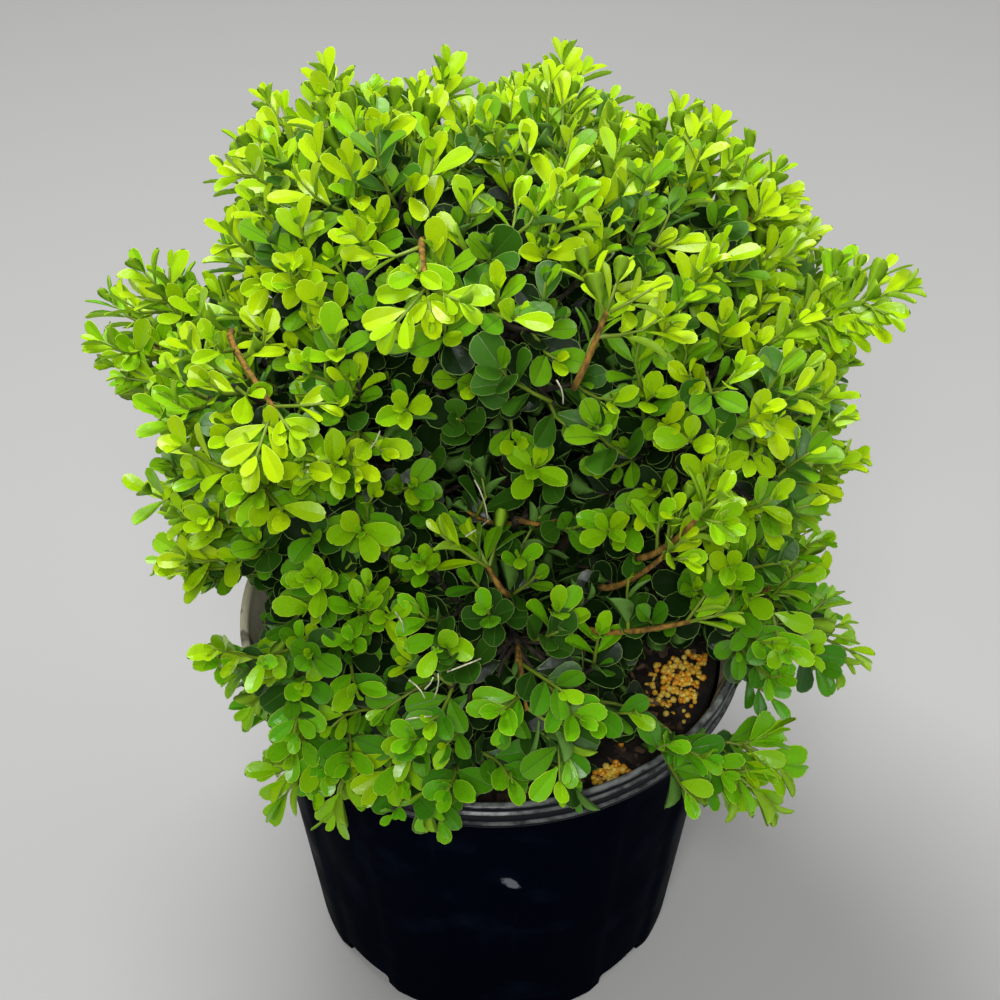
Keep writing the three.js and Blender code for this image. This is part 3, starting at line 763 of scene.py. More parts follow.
    def grow_spray(self, tip, heads):
        """A long shoot with three pairs of side shoots, to a tip of its own."""
        main = self.limb_to(tip, heads, 0.045, 0.0013)
        if main is None:
            return
        self.shoots.append(main)
        self.dress(main, self.LONG_LEAFY, SPRAY_YEARS)
        steep, hangs = abs(heads.z) >= self.STEEP, heads.z < -self.STEEP
        turn = (6 if steep else 0.5) * self.random()
        for back, length in self.SIDE_SHOOTS:
            share = 1 - back / main.length
            if share >= 0.15:
                self.side_shoots(main, share, turn, length * (0.6 if hangs else 1))
                turn += math.pi / 2 if steep else 0.3

    def side_shoots(self, limb, share, turn, length):
        """A pair of leafy shoots from two sides of a limb."""
        ahead, start = limb.ahead(share), limb.at(share)
        for way in (1, -1):
            side = side_of(ahead, turn) * way
            opening = math.radians(34 + 14 * self.random())
            out = ahead * math.cos(opening) + side * math.sin(opening)
            end = start + out * length * (0.85 + 0.4 * self.random()) + UP * (0.1 * length)
            shoot = Limb(start, start.lerp(end, 0.5) - UP * 0.001, end, 0.0009, 0.0006)
            if self.crown.clear_of_pot(end, 0.004) and not self.crosses_opening(shoot):
                self.shoots.append(shoot)
                self.dress(shoot, self.SHORT_LEAFY, SPRAY_YEARS)

    def limb_to(self, tip, heads, least, thick):
        """A limb that reaches its tip from the wood by the easiest bend that keeps clear.

        A near node costs less than a far one, one whose limb heads the same way less than one that
        would have to turn, and one that no shoot has left yet less than one that has been used.
        """
        nodes, headings = self.stock
        away = np.array(tip[:]) - nodes
        far = np.linalg.norm(away, axis=1)
        with np.errstate(divide="ignore", invalid="ignore"):
            straight_on = (away @ np.array(heads[:])) / far
            onward = (away * headings).sum(axis=1) / far
        used = np.array(self.uses[:len(nodes)])
        cost = far * (2.1 - straight_on - 0.35 * onward) + self.REUSE_COST * used
        cost[(far < least) | (far > self.LONGEST_SHOOT)] = self.TOO_DEAR
        for best in np.argsort(cost)[:25]:
            if cost[best] >= self.TOO_DEAR:
                break
            bend = tip - heads * (0.5 * far[best])
            limb = Limb(Vector(nodes[best]), bend, tip, thick, 0.5 * thick)
            if self.crown.clear_of_pot(limb.at(0.5), 0.003) and not self.crosses_opening(limb):
                self.uses[best] += 1
                return limb
        return None

    def dress(self, limb, leafy, years):
        """Opposite leaves from a limb's tip down, smaller and more closed towards the tip.

        The leaves of one limb share a shade: a deep one in tufts, and a light one low in sprays.
        """
        random = self.random
        roll, spray = random() * math.pi, 0.9
        if years != TUFT_YEARS:
            spray = random() - (0.5 * self.low(limb.tip) if years == SPRAY_YEARS else 0)
        vigour = 0.88 + 0.26 * random() + 0.10 * self.low(limb.tip)
        stretch = 0.8 + 0.35 * random()
        mass = self.crown.owner(limb.tip)
        for pair, (back, size, opening) in enumerate(PAIRS):
            back *= stretch
            if back > min(leafy, 0.92 * limb.length):
                break
            share = 1 - back / limb.length
            ahead = limb.ahead(share)
            flat = abs(ahead.z) < self.FLAT
            turn = 0.4 * (random() - 0.5) if flat else roll + pair * math.pi / 2
            if flat and pair < 2:
                turn += pair * math.pi / 2
            for way in (1, -1):
                side = side_of(ahead, turn) * way
                lean = math.radians(opening + 16 * (random() - 0.5))
                root = limb.at(share)
                scale = size * vigour * (0.9 + 0.2 * random())
                age = self.PAIR_YEARS * pair + years
                self.add_leaf(root, ahead, side, lean, scale, age, spray, flat, mass)

    def add_leaf(self, root, ahead, side, lean, scale, years, spray, flat, mass):
        """A leaf that leans from its limb, unless it would be in the way of something."""
        random = self.random
        heads = ahead * math.cos(lean) + side * math.sin(lean)
        heads = (heads + UP * (0.10 * random())).normalized()
        faces = ahead * math.sin(lean) - side * math.cos(lean) + UP * (1.2 if flat else 0.35)
        faces += Vector((random() - 0.5, random() - 0.5, 0)) * 0.35
        across = heads.cross(faces).normalized()
        length = self.sizes.length * scale
        tip, middle = root + heads * length, root + heads * (0.6 * length)
        depth = self.skin.depth(middle)
        if not self.crown.clear_of_pot(tip) or not self.crown.clear_of_pot(middle):
            return
        if self.in_opening(middle, 0.003) or self.hides_bare_twig(middle):
            return
        if self.leaf_grid.near(middle, self.sizes.crowding * min(scale, 1)):
            return
        self.leaf_grid.add(middle)
        looks = max(depth, 0) / self.YEAR_DEPTH + years + 0.3 * (random() - 0.5)
        looks += self.shade(middle)
        age = "green" if looks < self.GREEN_UNTIL else "old"
        age = "young" if looks < self.YOUNG_UNTIL else age
        form = int(random() * len(LEAF_FORMS))
        lowness = min(max((self.skin.middle.z + 0.10 - middle.z) / 0.20, 0.0), 1.0)
        darkest = len(LEAF_SHADES["green"]) - 1
        shade = int((0.72 * lowness + 0.5 * spray + 0.3 * (random() - 0.5)) * darkest)
        shade = min(max(shade, 0), darkest)
        # Old leaves deep under the skin get the last, near-black shade: painted shade
        deep = age == "old" and depth > SHADED_LEAF_DEPTH
        if deep:
            shade = len(LEAF_SHADES["old"]) - 1
        if age == "young" or deep:
            form += len(LEAF_FORMS)  # without a midrib
        broad = LEAF_BREADTHS[age] * (0.92 + 0.16 * random())
        leaf = Leaf(mass.tier, age, form, shade, root, heads, across, length, broad)
        self.leaves.append(leaf)

    def hides_bare_twig(self, point):
        """Whether a leaf's middle would lie on a stretch of bare twig."""
        return any((point - spot).length < 0.005 for spot in self.bare_spots)

    def in_hollow(self, point):
        """How far into the front hollow a place is, from 0 to 1."""
        ray, most = (point - self.skin.middle).normalized(), 0.0
        for azimuth, elevation, _, width, much in HOLLOWS:
            off = math.degrees(ray.angle(heading(azimuth, elevation)))
            most = max(most, much * math.exp(-((off / (1.1 * width)) ** 2)))
        return most

    def low(self, point):
        """How low in the crown a place is, from 0 at its middle to 1."""
        return min(max((self.skin.middle.z - point.z) / 0.10, 0.0), 1.0)

    def shade(self, point):
        """How much older leaves look at a place: in the front hollow, where the darker leaves are
        partly painted shade, and low down.
        """
        return 1.2 * self.in_hollow(point) + 0.5 * self.low(point)

    def crosses_opening(self, limb):
        """Whether a limb would show in an opening."""
        return any(self.in_opening(limb.at(share), 0.002) for share in (0.2, 0.4, 0.6, 0.8, 1))

    def in_opening(self, point, gap):
        """Whether a point stands between the eye and a place that has to show."""
        for spot, line, radius in self.openings:
            away = point - spot
            along = away.dot(line)
            if along > -0.01 and (away - line * along).length < radius + gap:
                return True
        return False


# Modelling helpers


def deselect():
    if bpy.context.object and bpy.context.object.mode != "OBJECT":
        bpy.ops.object.mode_set(mode="OBJECT")
    bpy.ops.object.select_all(action="DESELECT")


def only(piece):
    """Make a piece the only one selected, and the active one."""
    deselect()
    piece.select_set(True)
    bpy.context.view_layer.objects.active = piece


def newest(name):
    piece = bpy.context.object
    piece.name = piece.data.name = name
    return piece


def apply_place(piece):
    only(piece)
    bpy.ops.object.transform_apply(location=True, rotation=True, scale=True)


def apply_modifiers(piece):
    only(piece)
    for modifier in list(piece.modifiers):
        bpy.ops.object.modifier_apply(modifier=modifier.name)


def joined(pieces, name):
    """One piece from several."""
    deselect()
    for piece in pieces:
        piece.select_set(True)
    bpy.context.view_layer.objects.active = pieces[0]
    bpy.ops.object.join()
    return newest(name)


def smooth(piece, degrees):
    only(piece)
    bpy.ops.object.shade_smooth_by_angle(angle=math.radians(degrees))


def outward(piece):
    """Merge a closed piece's doubles and turn its faces outwards."""
    only(piece)
    bpy.ops.object.mode_set(mode="EDIT")
    bpy.ops.mesh.select_all(action="SELECT")
    bpy.ops.mesh.remove_doubles(threshold=1e-6)
    bpy.ops.mesh.normals_make_consistent(inside=False)
    bpy.ops.object.mode_set(mode="OBJECT")


def from_arrays(name, places, starts, corners, slots):
    """A joined mesh of many small things from arrays of places, faces and material slots."""
    mesh = bpy.data.meshes.new(name)
    mesh.vertices.add(len(places))
    mesh.vertices.foreach_set("co", places.astype(np.float32).ravel())
    mesh.loops.add(len(corners))
    mesh.loops.foreach_set("vertex_index", corners.astype(np.int32))
    mesh.polygons.add(len(starts))
    mesh.polygons.foreach_set("loop_start", starts.astype(np.int32))
    mesh.polygons.foreach_set("material_index", slots.astype(np.int32))
    mesh.update(calc_edges=True)
    mesh.validate()
    mesh.polygons.foreach_set("use_smooth", np.ones(len(mesh.polygons), dtype=bool))
    piece = bpy.data.objects.new(name, mesh)
    bpy.context.scene.collection.objects.link(piece)
    return piece


def tube(limb, radius_at, sides, steps, name):
    """A cylinder, subdivided along its length, and laid along a limb with its relief."""
    deselect()
    bpy.ops.mesh.primitive_cylinder_add(vertices=sides, radius=1, depth=1, location=(0, 0, 0))
    piece = newest(name)
    bpy.ops.object.mode_set(mode="EDIT")
    bpy.ops.mesh.select_all(action="DESELECT")
    bpy.ops.mesh.select_mode(type="EDGE")
    shape = bmesh.from_edit_mesh(piece.data)
    for edge in shape.edges:
        edge.select_set(abs(edge.verts[0].co.z - edge.verts[1].co.z) > 0.5)
    bmesh.update_edit_mesh(piece.data)
    bpy.ops.mesh.subdivide(number_cuts=steps - 1)
    bpy.ops.object.mode_set(mode="OBJECT")
    for vertex in piece.data.vertices:
        share = vertex.co.z + 0.5
        angle = math.atan2(vertex.co.y, vertex.co.x)
        ahead = limb.ahead(share)
        side = (Vector((1, 0, 0)) - ahead * ahead.x).normalized()
        other = ahead.cross(side)
        around = side * math.cos(angle) + other * math.sin(angle)
        vertex.co = limb.at(share) + around * radius_at(share, angle)
    return piece


# Finishes


def bare_finish(name, colour, roughness):
    """A material, its node tree, its shader and its object coordinates."""
    material = bpy.data.materials.new(name)
    material.use_nodes = True
    tree = material.node_tree
    shader = tree.nodes["Principled BSDF"]
    shader.inputs["Base Color"].default_value = (*colour, 1)
    shader.inputs["Roughness"].default_value = roughness
    places = tree.nodes.new("ShaderNodeTexCoord").outputs["Object"]
    return material, tree, shader, places


def grain(tree, places, scale, detail, stretch=None):
    """Noise on the piece's own coordinates, stretched if asked for."""
    if stretch:
        mapping = tree.nodes.new("ShaderNodeMapping")
        mapping.inputs["Scale"].default_value = stretch
        tree.links.new(places, mapping.inputs["Vector"])
        places = mapping.outputs["Vector"]
    node = tree.nodes.new("ShaderNodeTexNoise")
    node.inputs["Scale"].default_value = scale
    node.inputs["Detail"].default_value = detail
    tree.links.new(places, node.inputs["Vector"])
    return node.outputs["Fac"]


def spread_over(tree, value, low, high, into_low, into_high):
    """A value's range from low to high, spread from one number to another."""
    node = tree.nodes.new("ShaderNodeMapRange")
    limits = {"From Min": low, "From Max": high, "To Min": into_low, "To Max": into_high}
    for socket, number in limits.items():
        node.inputs[socket].default_value = number
    tree.links.new(value, node.inputs["Value"])
    return node.outputs["Result"]


def combined(tree, operation, first, second):
    """Two values added or multiplied."""
    node = tree.nodes.new("ShaderNodeMath")
    node.operation = operation
    tree.links.new(first, node.inputs[0])
    tree.links.new(second, node.inputs[1])
    return node.outputs[0]


def bump(tree, shader, height, distance, strength):
    node = tree.nodes.new("ShaderNodeBump")
    node.inputs["Distance"].default_value = distance
    node.inputs["Strength"].default_value = strength
    tree.links.new(height, node.inputs["Height"])
    tree.links.new(node.outputs["Normal"], shader.inputs["Normal"])


def blend_colours(tree, share, first, second):
    """A colour between two: each is a plain colour or another node's output."""
    node = tree.nodes.new("ShaderNodeMix")
    node.data_type = "RGBA"
    share_socket, first_socket, second_socket = (node.inputs[i] for i in (0, 6, 7))
    for socket, colour in ((first_socket, first), (second_socket, second)):
        if isinstance(colour, bpy.types.NodeSocket):
            tree.links.new(colour, socket)
        else:
            socket.default_value = (*colour, 1)
    tree.links.new(share, share_socket)
    return node.outputs[2]


def leaf_finish(name, colour, roughness, shine=0.5):
    """Waxy leaf skin: a plain colour, a fine uneven gloss and soft dimples."""
    material, tree, shader, places = bare_finish(name, colour, roughness)
    shader.inputs["Specular IOR Level"].default_value = shine
    glossiest, dullest = roughness - 0.07, roughness + 0.10
    gloss = spread_over(tree, grain(tree, places, 260, 2), 0.3, 0.7, glossiest, dullest)
    tree.links.new(gloss, shader.inputs["Roughness"])
    bump(tree, shader, grain(tree, places, 420, 3), 0.0004, 0.35)
    return material


def bark_finish(name, colour, scale):
    """Bark: darker in its cracks, paler on its ridges, rough all over."""
    material, tree, shader, places = bare_finish(name, colour, 0.85)
    ridges = grain(tree, places, scale, 6, (1, 1, 0.35))
    share = spread_over(tree, ridges, 0.38, 0.62, 0, 1)
    dark = [0.45 * c for c in colour]
    pale = [min(1.0, 1.35 * c) for c in colour]
    tree.links.new(blend_colours(tree, share, dark, pale), shader.inputs["Base Color"])
    bump(tree, shader, ridges, 0.0008, 0.8)
    return material


def plastic_finish(name, colours, shine, roughness, dusty, dust_colour, ledges=0.0):
    """Blow-moulded plastic: dust, fine scratches and one scuff in front, and on the ledges pale
    dust that is also a painted highlight.
    """
    material, tree, shader, places = bare_finish(name, colours.plastic, roughness)
    shader.inputs["Specular IOR Level"].default_value = shine
    dust = spread_over(tree, grain(tree, places, 34, 6), 0.55, 0.80, 0, dusty)
    scratches = grain(tree, places, 90, 3, (1, 1, 0.06))
    scratch = spread_over(tree, scratches, 0.66, 0.76, 0, 0.03)
    share = combined(tree, "ADD", dust, scratch)
    worn = blend_colours(tree, share, colours.plastic, dust_colour)
    # Upward faces go pale: dust and a painted highlight
    painted_highlight_dust = ledge_dust_and_highlight(tree, places, ledges)
    worn = blend_colours(tree, painted_highlight_dust, worn, colours.ledge_dust_and_highlight)
    worn = blend_colours(tree, scuff(tree, places), worn, colours.scuff)
    tree.links.new(worn, shader.inputs["Base Color"])
    glossiest, dullest = 0.8 * roughness, 1.4 * roughness
    gloss = spread_over(tree, grain(tree, places, 22, 5), 0.35, 0.7, glossiest, dullest)
    tree.links.new(gloss, shader.inputs["Roughness"])
    bump(tree, shader, grain(tree, places, 45, 2), 0.0006, 0.12)
    return material


def ledge_dust_and_highlight(tree, places, ledges):
    """How pale what faces up is, in patches: dust, and a painted highlight on ledges."""
    facing = tree.nodes.new("ShaderNodeSeparateXYZ")
    tree.links.new(places.node.outputs["Normal"], facing.inputs[0])
    upward = spread_over(tree, facing.outputs["Z"], 0.42, 0.95, 0, ledges)
    patches = spread_over(tree, grain(tree, places, 150, 6, (1, 1, 3)), 0.36, 0.62, 0.3, 1.35)
    return combined(tree, "MULTIPLY", upward, patches)


def scuff(tree, places):
    """One ragged scuff on the front of the wall, longest across and leaning."""
    mapping = tree.nodes.new("ShaderNodeMapping")
    mapping.vector_type = "TEXTURE"
    mapping.inputs["Location"].default_value = (0.009, -0.121, 0.150)
    mapping.inputs["Rotation"].default_value = (0, 0.913, 0)
    mapping.inputs["Scale"].default_value = (0.0115, 0.02, 0.0052)
    tree.links.new(places, mapping.inputs["Vector"])
    ball = tree.nodes.new("ShaderNodeTexGradient")
    ball.gradient_type = "SPHERICAL"
    tree.links.new(mapping.outputs["Vector"], ball.inputs["Vector"])
    ragged = grain(tree, places, 420, 4, (1, 1, 0.5))
    rub = combined(tree, "MULTIPLY", ball.outputs["Fac"], ragged)
    return spread_over(tree, rub, 0.15, 0.27, 0, 0.6)


def residue_finish(colours):
    """Dried minerals on the wall above the mix, thin in patches so that the plastic shows."""
    material, tree, shader, places = bare_finish("pot_residue_finish", colours.residue, 0.8)
    patches = spread_over(tree, grain(tree, places, 110, 6, (1, 1, 0.12)), 0.34, 0.48, 0, 1)
    thin = [0.3 * c for c in colours.residue]
    tree.links.new(blend_colours(tree, patches, thin, colours.residue), shader.inputs["Base Color"])
    bump(tree, shader, grain(tree, places, 240, 4), 0.0004, 0.5)
    return material


def mottled_finish(name, colour, roughness, scale, contrast, depth):
    """A rough stuff, lighter and darker by patches."""
    material, tree, shader, places = bare_finish(name, colour, roughness)
    patches = spread_over(tree, grain(tree, places, scale, 6), 0.35, 0.65, 0, 1)
    dark = [(1 - contrast) * c for c in colour]
    pale = [min(1.0, (1 + contrast) * c) for c in colour]
    tree.links.new(blend_colours(tree, patches, dark, pale), shader.inputs["Base Color"])
    bump(tree, shader, grain(tree, places, 3 * scale, 4), depth, 0.7)
    return material


# Pieces


def wall_radius(pot, z):
    """Outside of the tapered wall at a height."""
    share = z / (pot.height - pot.band_height)
    return pot.foot_radius + (pot.wall_top_radius - pot.foot_radius) * share


def pot_profile(pot):
    """Radius and height from the foot up the outside, over the rim and down to the floor."""
    band, rim, top = pot.height - pot.band_height, pot.rim_radius, pot.height
    outside = [(pot.foot_radius - 0.0012, 0.0002), (wall_radius(pot, 0.001) - 0.0002, 0.0012)]
    outside += [(wall_radius(pot, z), z) for z in np.linspace(0.003, band - 0.001, 34)]
    outside += [
        (wall_radius(pot, band) + 0.0010, band - 0.0002), (rim - 0.0026, band + 0.0001),
        (rim - 0.0008, band + 0.0004), (rim - 0.0001, band + 0.0011), (rim, band + 0.0018),
        (rim - 0.0004, band + 0.0026), (rim - 0.0016, band + 0.0032), (rim - 0.0020, band + 0.0040),
        (rim - 0.0020, band + 0.0090), (rim - 0.0015, band + 0.0097), (rim - 0.0004, band + 0.0101),
        (rim, band + 0.0106), (rim - 0.0004, band + 0.0111), (rim - 0.0015, band + 0.0115),
        (rim - 0.0019, band + 0.0121), (rim - 0.0015, band + 0.0127), (rim - 0.0004, band + 0.0132),
        (rim, top - 0.0032), (rim - 0.0001, top - 0.0020), (rim - 0.0005, top - 0.0010),
        (rim - 0.0014, top - 0.0003), (rim - 0.0026, top), (rim - 0.0038, top - 0.0004),
        (rim - 0.0047, top - 0.0014), (rim - 0.0050, top - 0.0030), (rim - 0.0054, top - 0.0050),
    ]
    inside = [(wall_radius(pot, z) - pot.wall, z) for z in np.linspace(band - 0.008, pot.floor, 26)]
    (high, high_z), (low, low_z) = outside[-1], inside[0]
    for step in np.linspace(0, 1, 7)[1:-1]:
        outside.append((high + (low - high) * step, high_z + (low_z - high_z) * step))
    return outside + inside


def drawn_up(name, corners, radius, z, rings):
    """A disc at a height, extruded from ring to ring, each given by its radius and height."""
    deselect()
    bpy.ops.mesh.primitive_circle_add(
        vertices=corners, radius=radius, fill_type="NGON", location=(0, 0, z)
    )
    piece = newest(name)
    apply_place(piece)
    bpy.ops.object.mode_set(mode="EDIT")
    bpy.ops.mesh.select_all(action="SELECT")
    for next_radius, next_z in rings:
        bpy.ops.mesh.extrude_region_move(TRANSFORM_OT_translate={"value": (0, 0, next_z - z)})
        share = next_radius / radius
        bpy.ops.transform.resize(value=(share, share, 1), center_override=(0, 0, next_z))
        radius, z = next_radius, next_z
    bpy.ops.object.mode_set(mode="OBJECT")
    return piece


# The pot's material slots after the wall's
CRUST, RIM = 1, 2
# How far down the inner wall the minerals' crust goes, the lip's depth and width, and the stretch
# of lip that has a crust: its middle, in degrees from the front towards the left, and its reach
CRUST_DEPTH, LIP_DEPTH, LIP_WIDTH = 0.036, 0.0022, 0.0046
LIP_CRUST, LIP_CRUST_REACH = 92, 34


def make_pot(pot, colours):
    """The nursery pot: plastic wall, dusty rim, and dried minerals inside it."""
    piece = drawn_up("nursery_pot", 192, pot.foot_radius - 0.003, 0.0, pot_profile(pot))
    press_flutes(piece, pot)
    cut_drains(piece, pot)
    outward(piece)
    smooth(piece, 40)
    wall = plastic_finish(
        "pot_plastic_finish", colours, shine=0.001, roughness=0.34,
        dusty=0.04, dust_colour=colours.wall_dust,
    )
    # The rim's ledges are pale with dust and a painted highlight
    rim = plastic_finish(
        "pot_rim_finish", colours, shine=0.12, roughness=0.15,
        dusty=0.01, dust_colour=colours.rim_dust, ledges=0.5,
    )
    for finish in (wall, residue_finish(colours), rim):
        piece.data.materials.append(finish)
    for face in piece.data.polygons:
        if crusted(face, pot):
            face.material_index = CRUST
        elif face.center.z > pot.height - pot.band_height:
            face.material_index = RIM
    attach(piece, "root")
    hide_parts("pot")


def crusted(face, pot):
    """Whether minerals have dried on a face: round the inner wall, and on a stretch of the lip."""
    middle, lip = face.center, pot.height - LIP_DEPTH
    if middle.z > lip:
        return abs(math.degrees(math.atan2(-middle.x, -middle.y)) - LIP_CRUST) < LIP_CRUST_REACH
    inward = face.normal.x * middle.x + face.normal.y * middle.y < 0
    inner = math.hypot(middle.x, middle.y) < pot.rim_radius - LIP_WIDTH
    return inward and inner and pot.height - CRUST_DEPTH < middle.z < lip


def press_flutes(piece, pot):
    """Press soft flutes into the wall, inside and out, that fade out under the rim."""
    pitch = 2 * math.pi / pot.flutes
    for vertex in piece.data.vertices:
        x, y, z = vertex.co
        across = math.hypot(x, y)
        if across < wall_radius(pot, z) - pot.wall - 0.0005 or z > pot.flute_top + 0.012:
            continue
        angle = math.atan2(x, -y)
        off = abs(angle - round(angle / pitch) * pitch) / (pitch / 4)
        edge = min(max((1.08 - off) / 0.16, 0.0), 1.0)
        fade = min(max((pot.flute_top + 0.006 - z) / 0.010, 0.0), 1.0)
        depth = pot.flute_depth * edge * edge * (3 - 2 * edge) * fade
        vertex.co.x, vertex.co.y = x * (1 - depth / across), y * (1 - depth / across)


def cut_drains(piece, pot):
    """Cut a drain notch with rounded corners at the foot of each flute."""
    cutters = []
    for i in range(pot.flutes):
        deselect()
        reach = 1.5 * pot.drain_height
        bpy.ops.mesh.primitive_cube_add(size=1, location=(0, -pot.foot_radius - 0.005, 0))
        cutter = newest("drain_cutter")
        cutter.dimensions = (pot.drain_width, 2 * reach, 2 * pot.drain_height)
        apply_place(cutter)
        rounding = cutter.modifiers.new("rounding", "BEVEL")
        rounding.width, rounding.segments = 0.003, 3
        apply_modifiers(cutter)
        cutter.data.transform(Matrix.Rotation(i * 2 * math.pi / pot.flutes, 4, "Z"))
        cutters.append(cutter)
    cutter = joined(cutters, "drain_cutters")
    notch = piece.modifiers.new("notches", "BOOLEAN")
    notch.operation, notch.solver, notch.object = "DIFFERENCE", "EXACT", cutter
    apply_modifiers(piece)
    bpy.data.objects.remove(cutter)


def make_mix(pot, colours):
    """The potting mix: a lumpy surface that mounds to the trunk, over a plain body."""
    surface, gap = pot.height - pot.mix_below_rim, 0.0004
    heights = (0.004, 0.06, 0.12, 0.19, surface - 0.004)
    rings = [(wall_radius(pot, z) - pot.wall - gap, z) for z in heights]
    edge = wall_radius(pot, surface) - pot.wall - gap - 0.001
    rings.append((edge, surface - 0.0008))
    rings += [(edge * share, surface) for share in np.linspace(0.975, 0.02, 44)]
    foot_radius, foot = rings[0][0] - 0.004, pot.floor + 0.0003
    piece = drawn_up("potting_mix_surface", 144, foot_radius, foot, rings)
    for vertex in piece.data.vertices:
        if vertex.co.z > surface - 0.0002:
            vertex.co.z = mix_height(pot, vertex.co.x, vertex.co.y)
        else:
            press = flute_press(pot, vertex.co)
            vertex.co.x, vertex.co.y = vertex.co.x * press, vertex.co.y * press
    outward(piece)
    smooth(piece, 60)
    finish = mottled_finish("potting_mix_finish", colours.mix, 0.9, 160, 0.7, 0.001)
    piece.data.materials.append(finish)
    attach(piece, "root")
    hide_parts("potting_mix")


def flute_press(pot, place):
    """How much nearer the axis a place inside the wall stands for the flutes."""
    return 1 - pot.flute_depth / math.hypot(place.x, place.y)


# How high the mix's lumps are, and how far it has sunk along the wall
LUMP_HEIGHT, WALL_SINK = 0.0016, 0.0014


def mix_height(pot, x, y):
    """Height of the mix's lumpy surface."""
    across = math.hypot(x, y)
    share = min(max((0.112 - across) / 0.08, 0.0), 1.0)
    z = pot.height - pot.mix_below_rim + pot.mix_mound * share
    lumps = noise.noise(Vector((x, y, 0.3)) * 90) + 0.6 * noise.noise(Vector((x, y, 1.7)) * 210)
    settle = min(max((0.119 - across) / 0.006, 0.0), 1.0)
    return z + LUMP_HEIGHT * lumps - WALL_SINK * (1 - settle)


# The share of places in clusters, and how far from the axis small things lie
CLUSTERED = 0.8
CLEAR_OF_TRUNK, CLEAR_OF_WALL = 0.022, 0.117


def scatter_on_mix(pot, count, seed, clusters=()):
    """Seeded places on the mix: most in clusters where there are any, the rest all over it."""
    random, found = seeded(seed), []
    while len(found) < count:
        if clusters and random() < CLUSTERED:
            x, y, radius = clusters[int(random() * len(clusters))]
            far, turn = radius * math.sqrt(random()), 2 * math.pi * random()
            x, y = x + far * math.cos(turn), y + far * math.sin(turn)
        else:
            far, turn = 0.116 * math.sqrt(random()), 2 * math.pi * random()
            x, y = far * math.cos(turn), far * math.sin(turn)
        if CLEAR_OF_TRUNK < math.hypot(x, y) < CLEAR_OF_WALL:
            found.append((x, y, mix_height(pot, x, y), random))
    return found


def model_chip():
    """One bark chip: a cube drawn out to a splinter with a broken end."""
    deselect()
    bpy.ops.mesh.primitive_cube_add(size=1, location=(0, 0, 0))
    chip = newest("chip_form")
    bpy.ops.object.mode_set(mode="EDIT")
    bpy.ops.mesh.select_all(action="SELECT")
    bpy.ops.transform.resize(value=(1, 0.42, 0.20))
    bpy.ops.object.mode_set(mode="OBJECT")
    shifts = [(0, 0.05, 0.02), (0.1, -0.04, 0), (-0.06, 0.03, 0.05), (0.12, 0.06, -0.03)]
    for i, vertex in enumerate(chip.data.vertices):
        vertex.co += Vector(shifts[i % 4]) * (1 if i < 4 else 1.3)
        if vertex.co.x > 0.3:
            vertex.co.y *= 0.55
    return chip


def arrays_of(form, creased=False):
    """A modelled form's places, faces, slots and creased vertices, after which the form goes."""
    mesh = form.data
    places = np.array([v.co[:] for v in mesh.vertices])
    faces = [list(p.vertices) for p in mesh.polygons]
    slots = np.array([p.material_index for p in mesh.polygons])
    creases = np.array([creased and v.select for v in mesh.vertices])
    bpy.data.objects.remove(form)
    bpy.data.meshes.remove(mesh)
    return places, faces, slots, creases


def many(name, form, frames, slot_of):
    """Copies of a form, one for each frame of origin and three axes, as one joined mesh.

    slot_of turns the form's slots into those of all the copies, one row for each.
    """
    places, faces, slots, creases = form
    corners = np.concatenate(faces)
    starts = np.cumsum([0] + [len(f) for f in faces[:-1]])
    frames = np.asarray(frames)
    origins, axes = frames[:, 0], frames[:, 1:]
    spots = origins[:, None, :] + np.einsum("vk,nkc->nvc", places, axes)
    count = len(frames)
    all_corners = (corners[None, :] + np.arange(count)[:, None] * len(places)).ravel()
    all_starts = (starts[None, :] + np.arange(count)[:, None] * len(corners)).ravel()
    all_slots = slot_of(slots, count).ravel()
    piece = from_arrays(name, spots.reshape(-1, 3), all_starts, all_corners, all_slots)
    if creases.any():
        ends = np.empty(2 * len(piece.data.edges), dtype=np.int32)
        piece.data.edges.foreach_get("vertices", ends)
        sharp = creases[ends.reshape(-1, 2) % len(places)].all(axis=1)
        piece.data.edges.foreach_set("use_edge_sharp", sharp)
    return piece


def dealt_slots(dealt):
    """Give each copy of a form of one material the slot dealt to it."""
    return lambda slots, count: np.tile(slots, (count, 1)) + np.array(dealt)[:, None]


def lie(random, size, thin=1.0):
    """Three axes for a small thing that lies about, turned at random and tipped a little."""
    turn = Matrix.Rotation(2 * math.pi * random(), 3, "Z")
    roll = Matrix.Rotation(0.9 * (random() - 0.5), 3, "X")
    pitch = Matrix.Rotation(0.9 * (random() - 0.5), 3, "Y")
    axes = (turn @ (roll @ pitch)).transposed()
    return [axes[0] * size, axes[1] * size * thin, axes[2] * size]


def make_chips(pot, colours):
    """Bark chips strewn over the mix."""
    frames, dealt = [], []
    for x, y, z, random in scatter_on_mix(pot, count=1500, seed=4177):
        size = 0.004 + 0.009 * random() ** 2
        middle = Vector((x, y, z + 0.0006 + 0.05 * size))
        frames.append([middle, *lie(random, size, 0.7 + 0.6 * random())])
        dealt.append(int(random() < 0.14) + int(random() < 0.3))
    piece = many("bark_chips", arrays_of(model_chip()), frames, dealt_slots(dealt))
    for name, share in (("", 0.35), ("_lit", 1.4), ("_pale", 3.6)):
        colour = [share * c for c in colours.chip]
        piece.data.materials.append(
            mottled_finish(f"bark_chip{name}_finish", colour, 0.85, 130, 0.5, 0.0006)
        )
    smooth(piece, 20)
    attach(piece, "root")


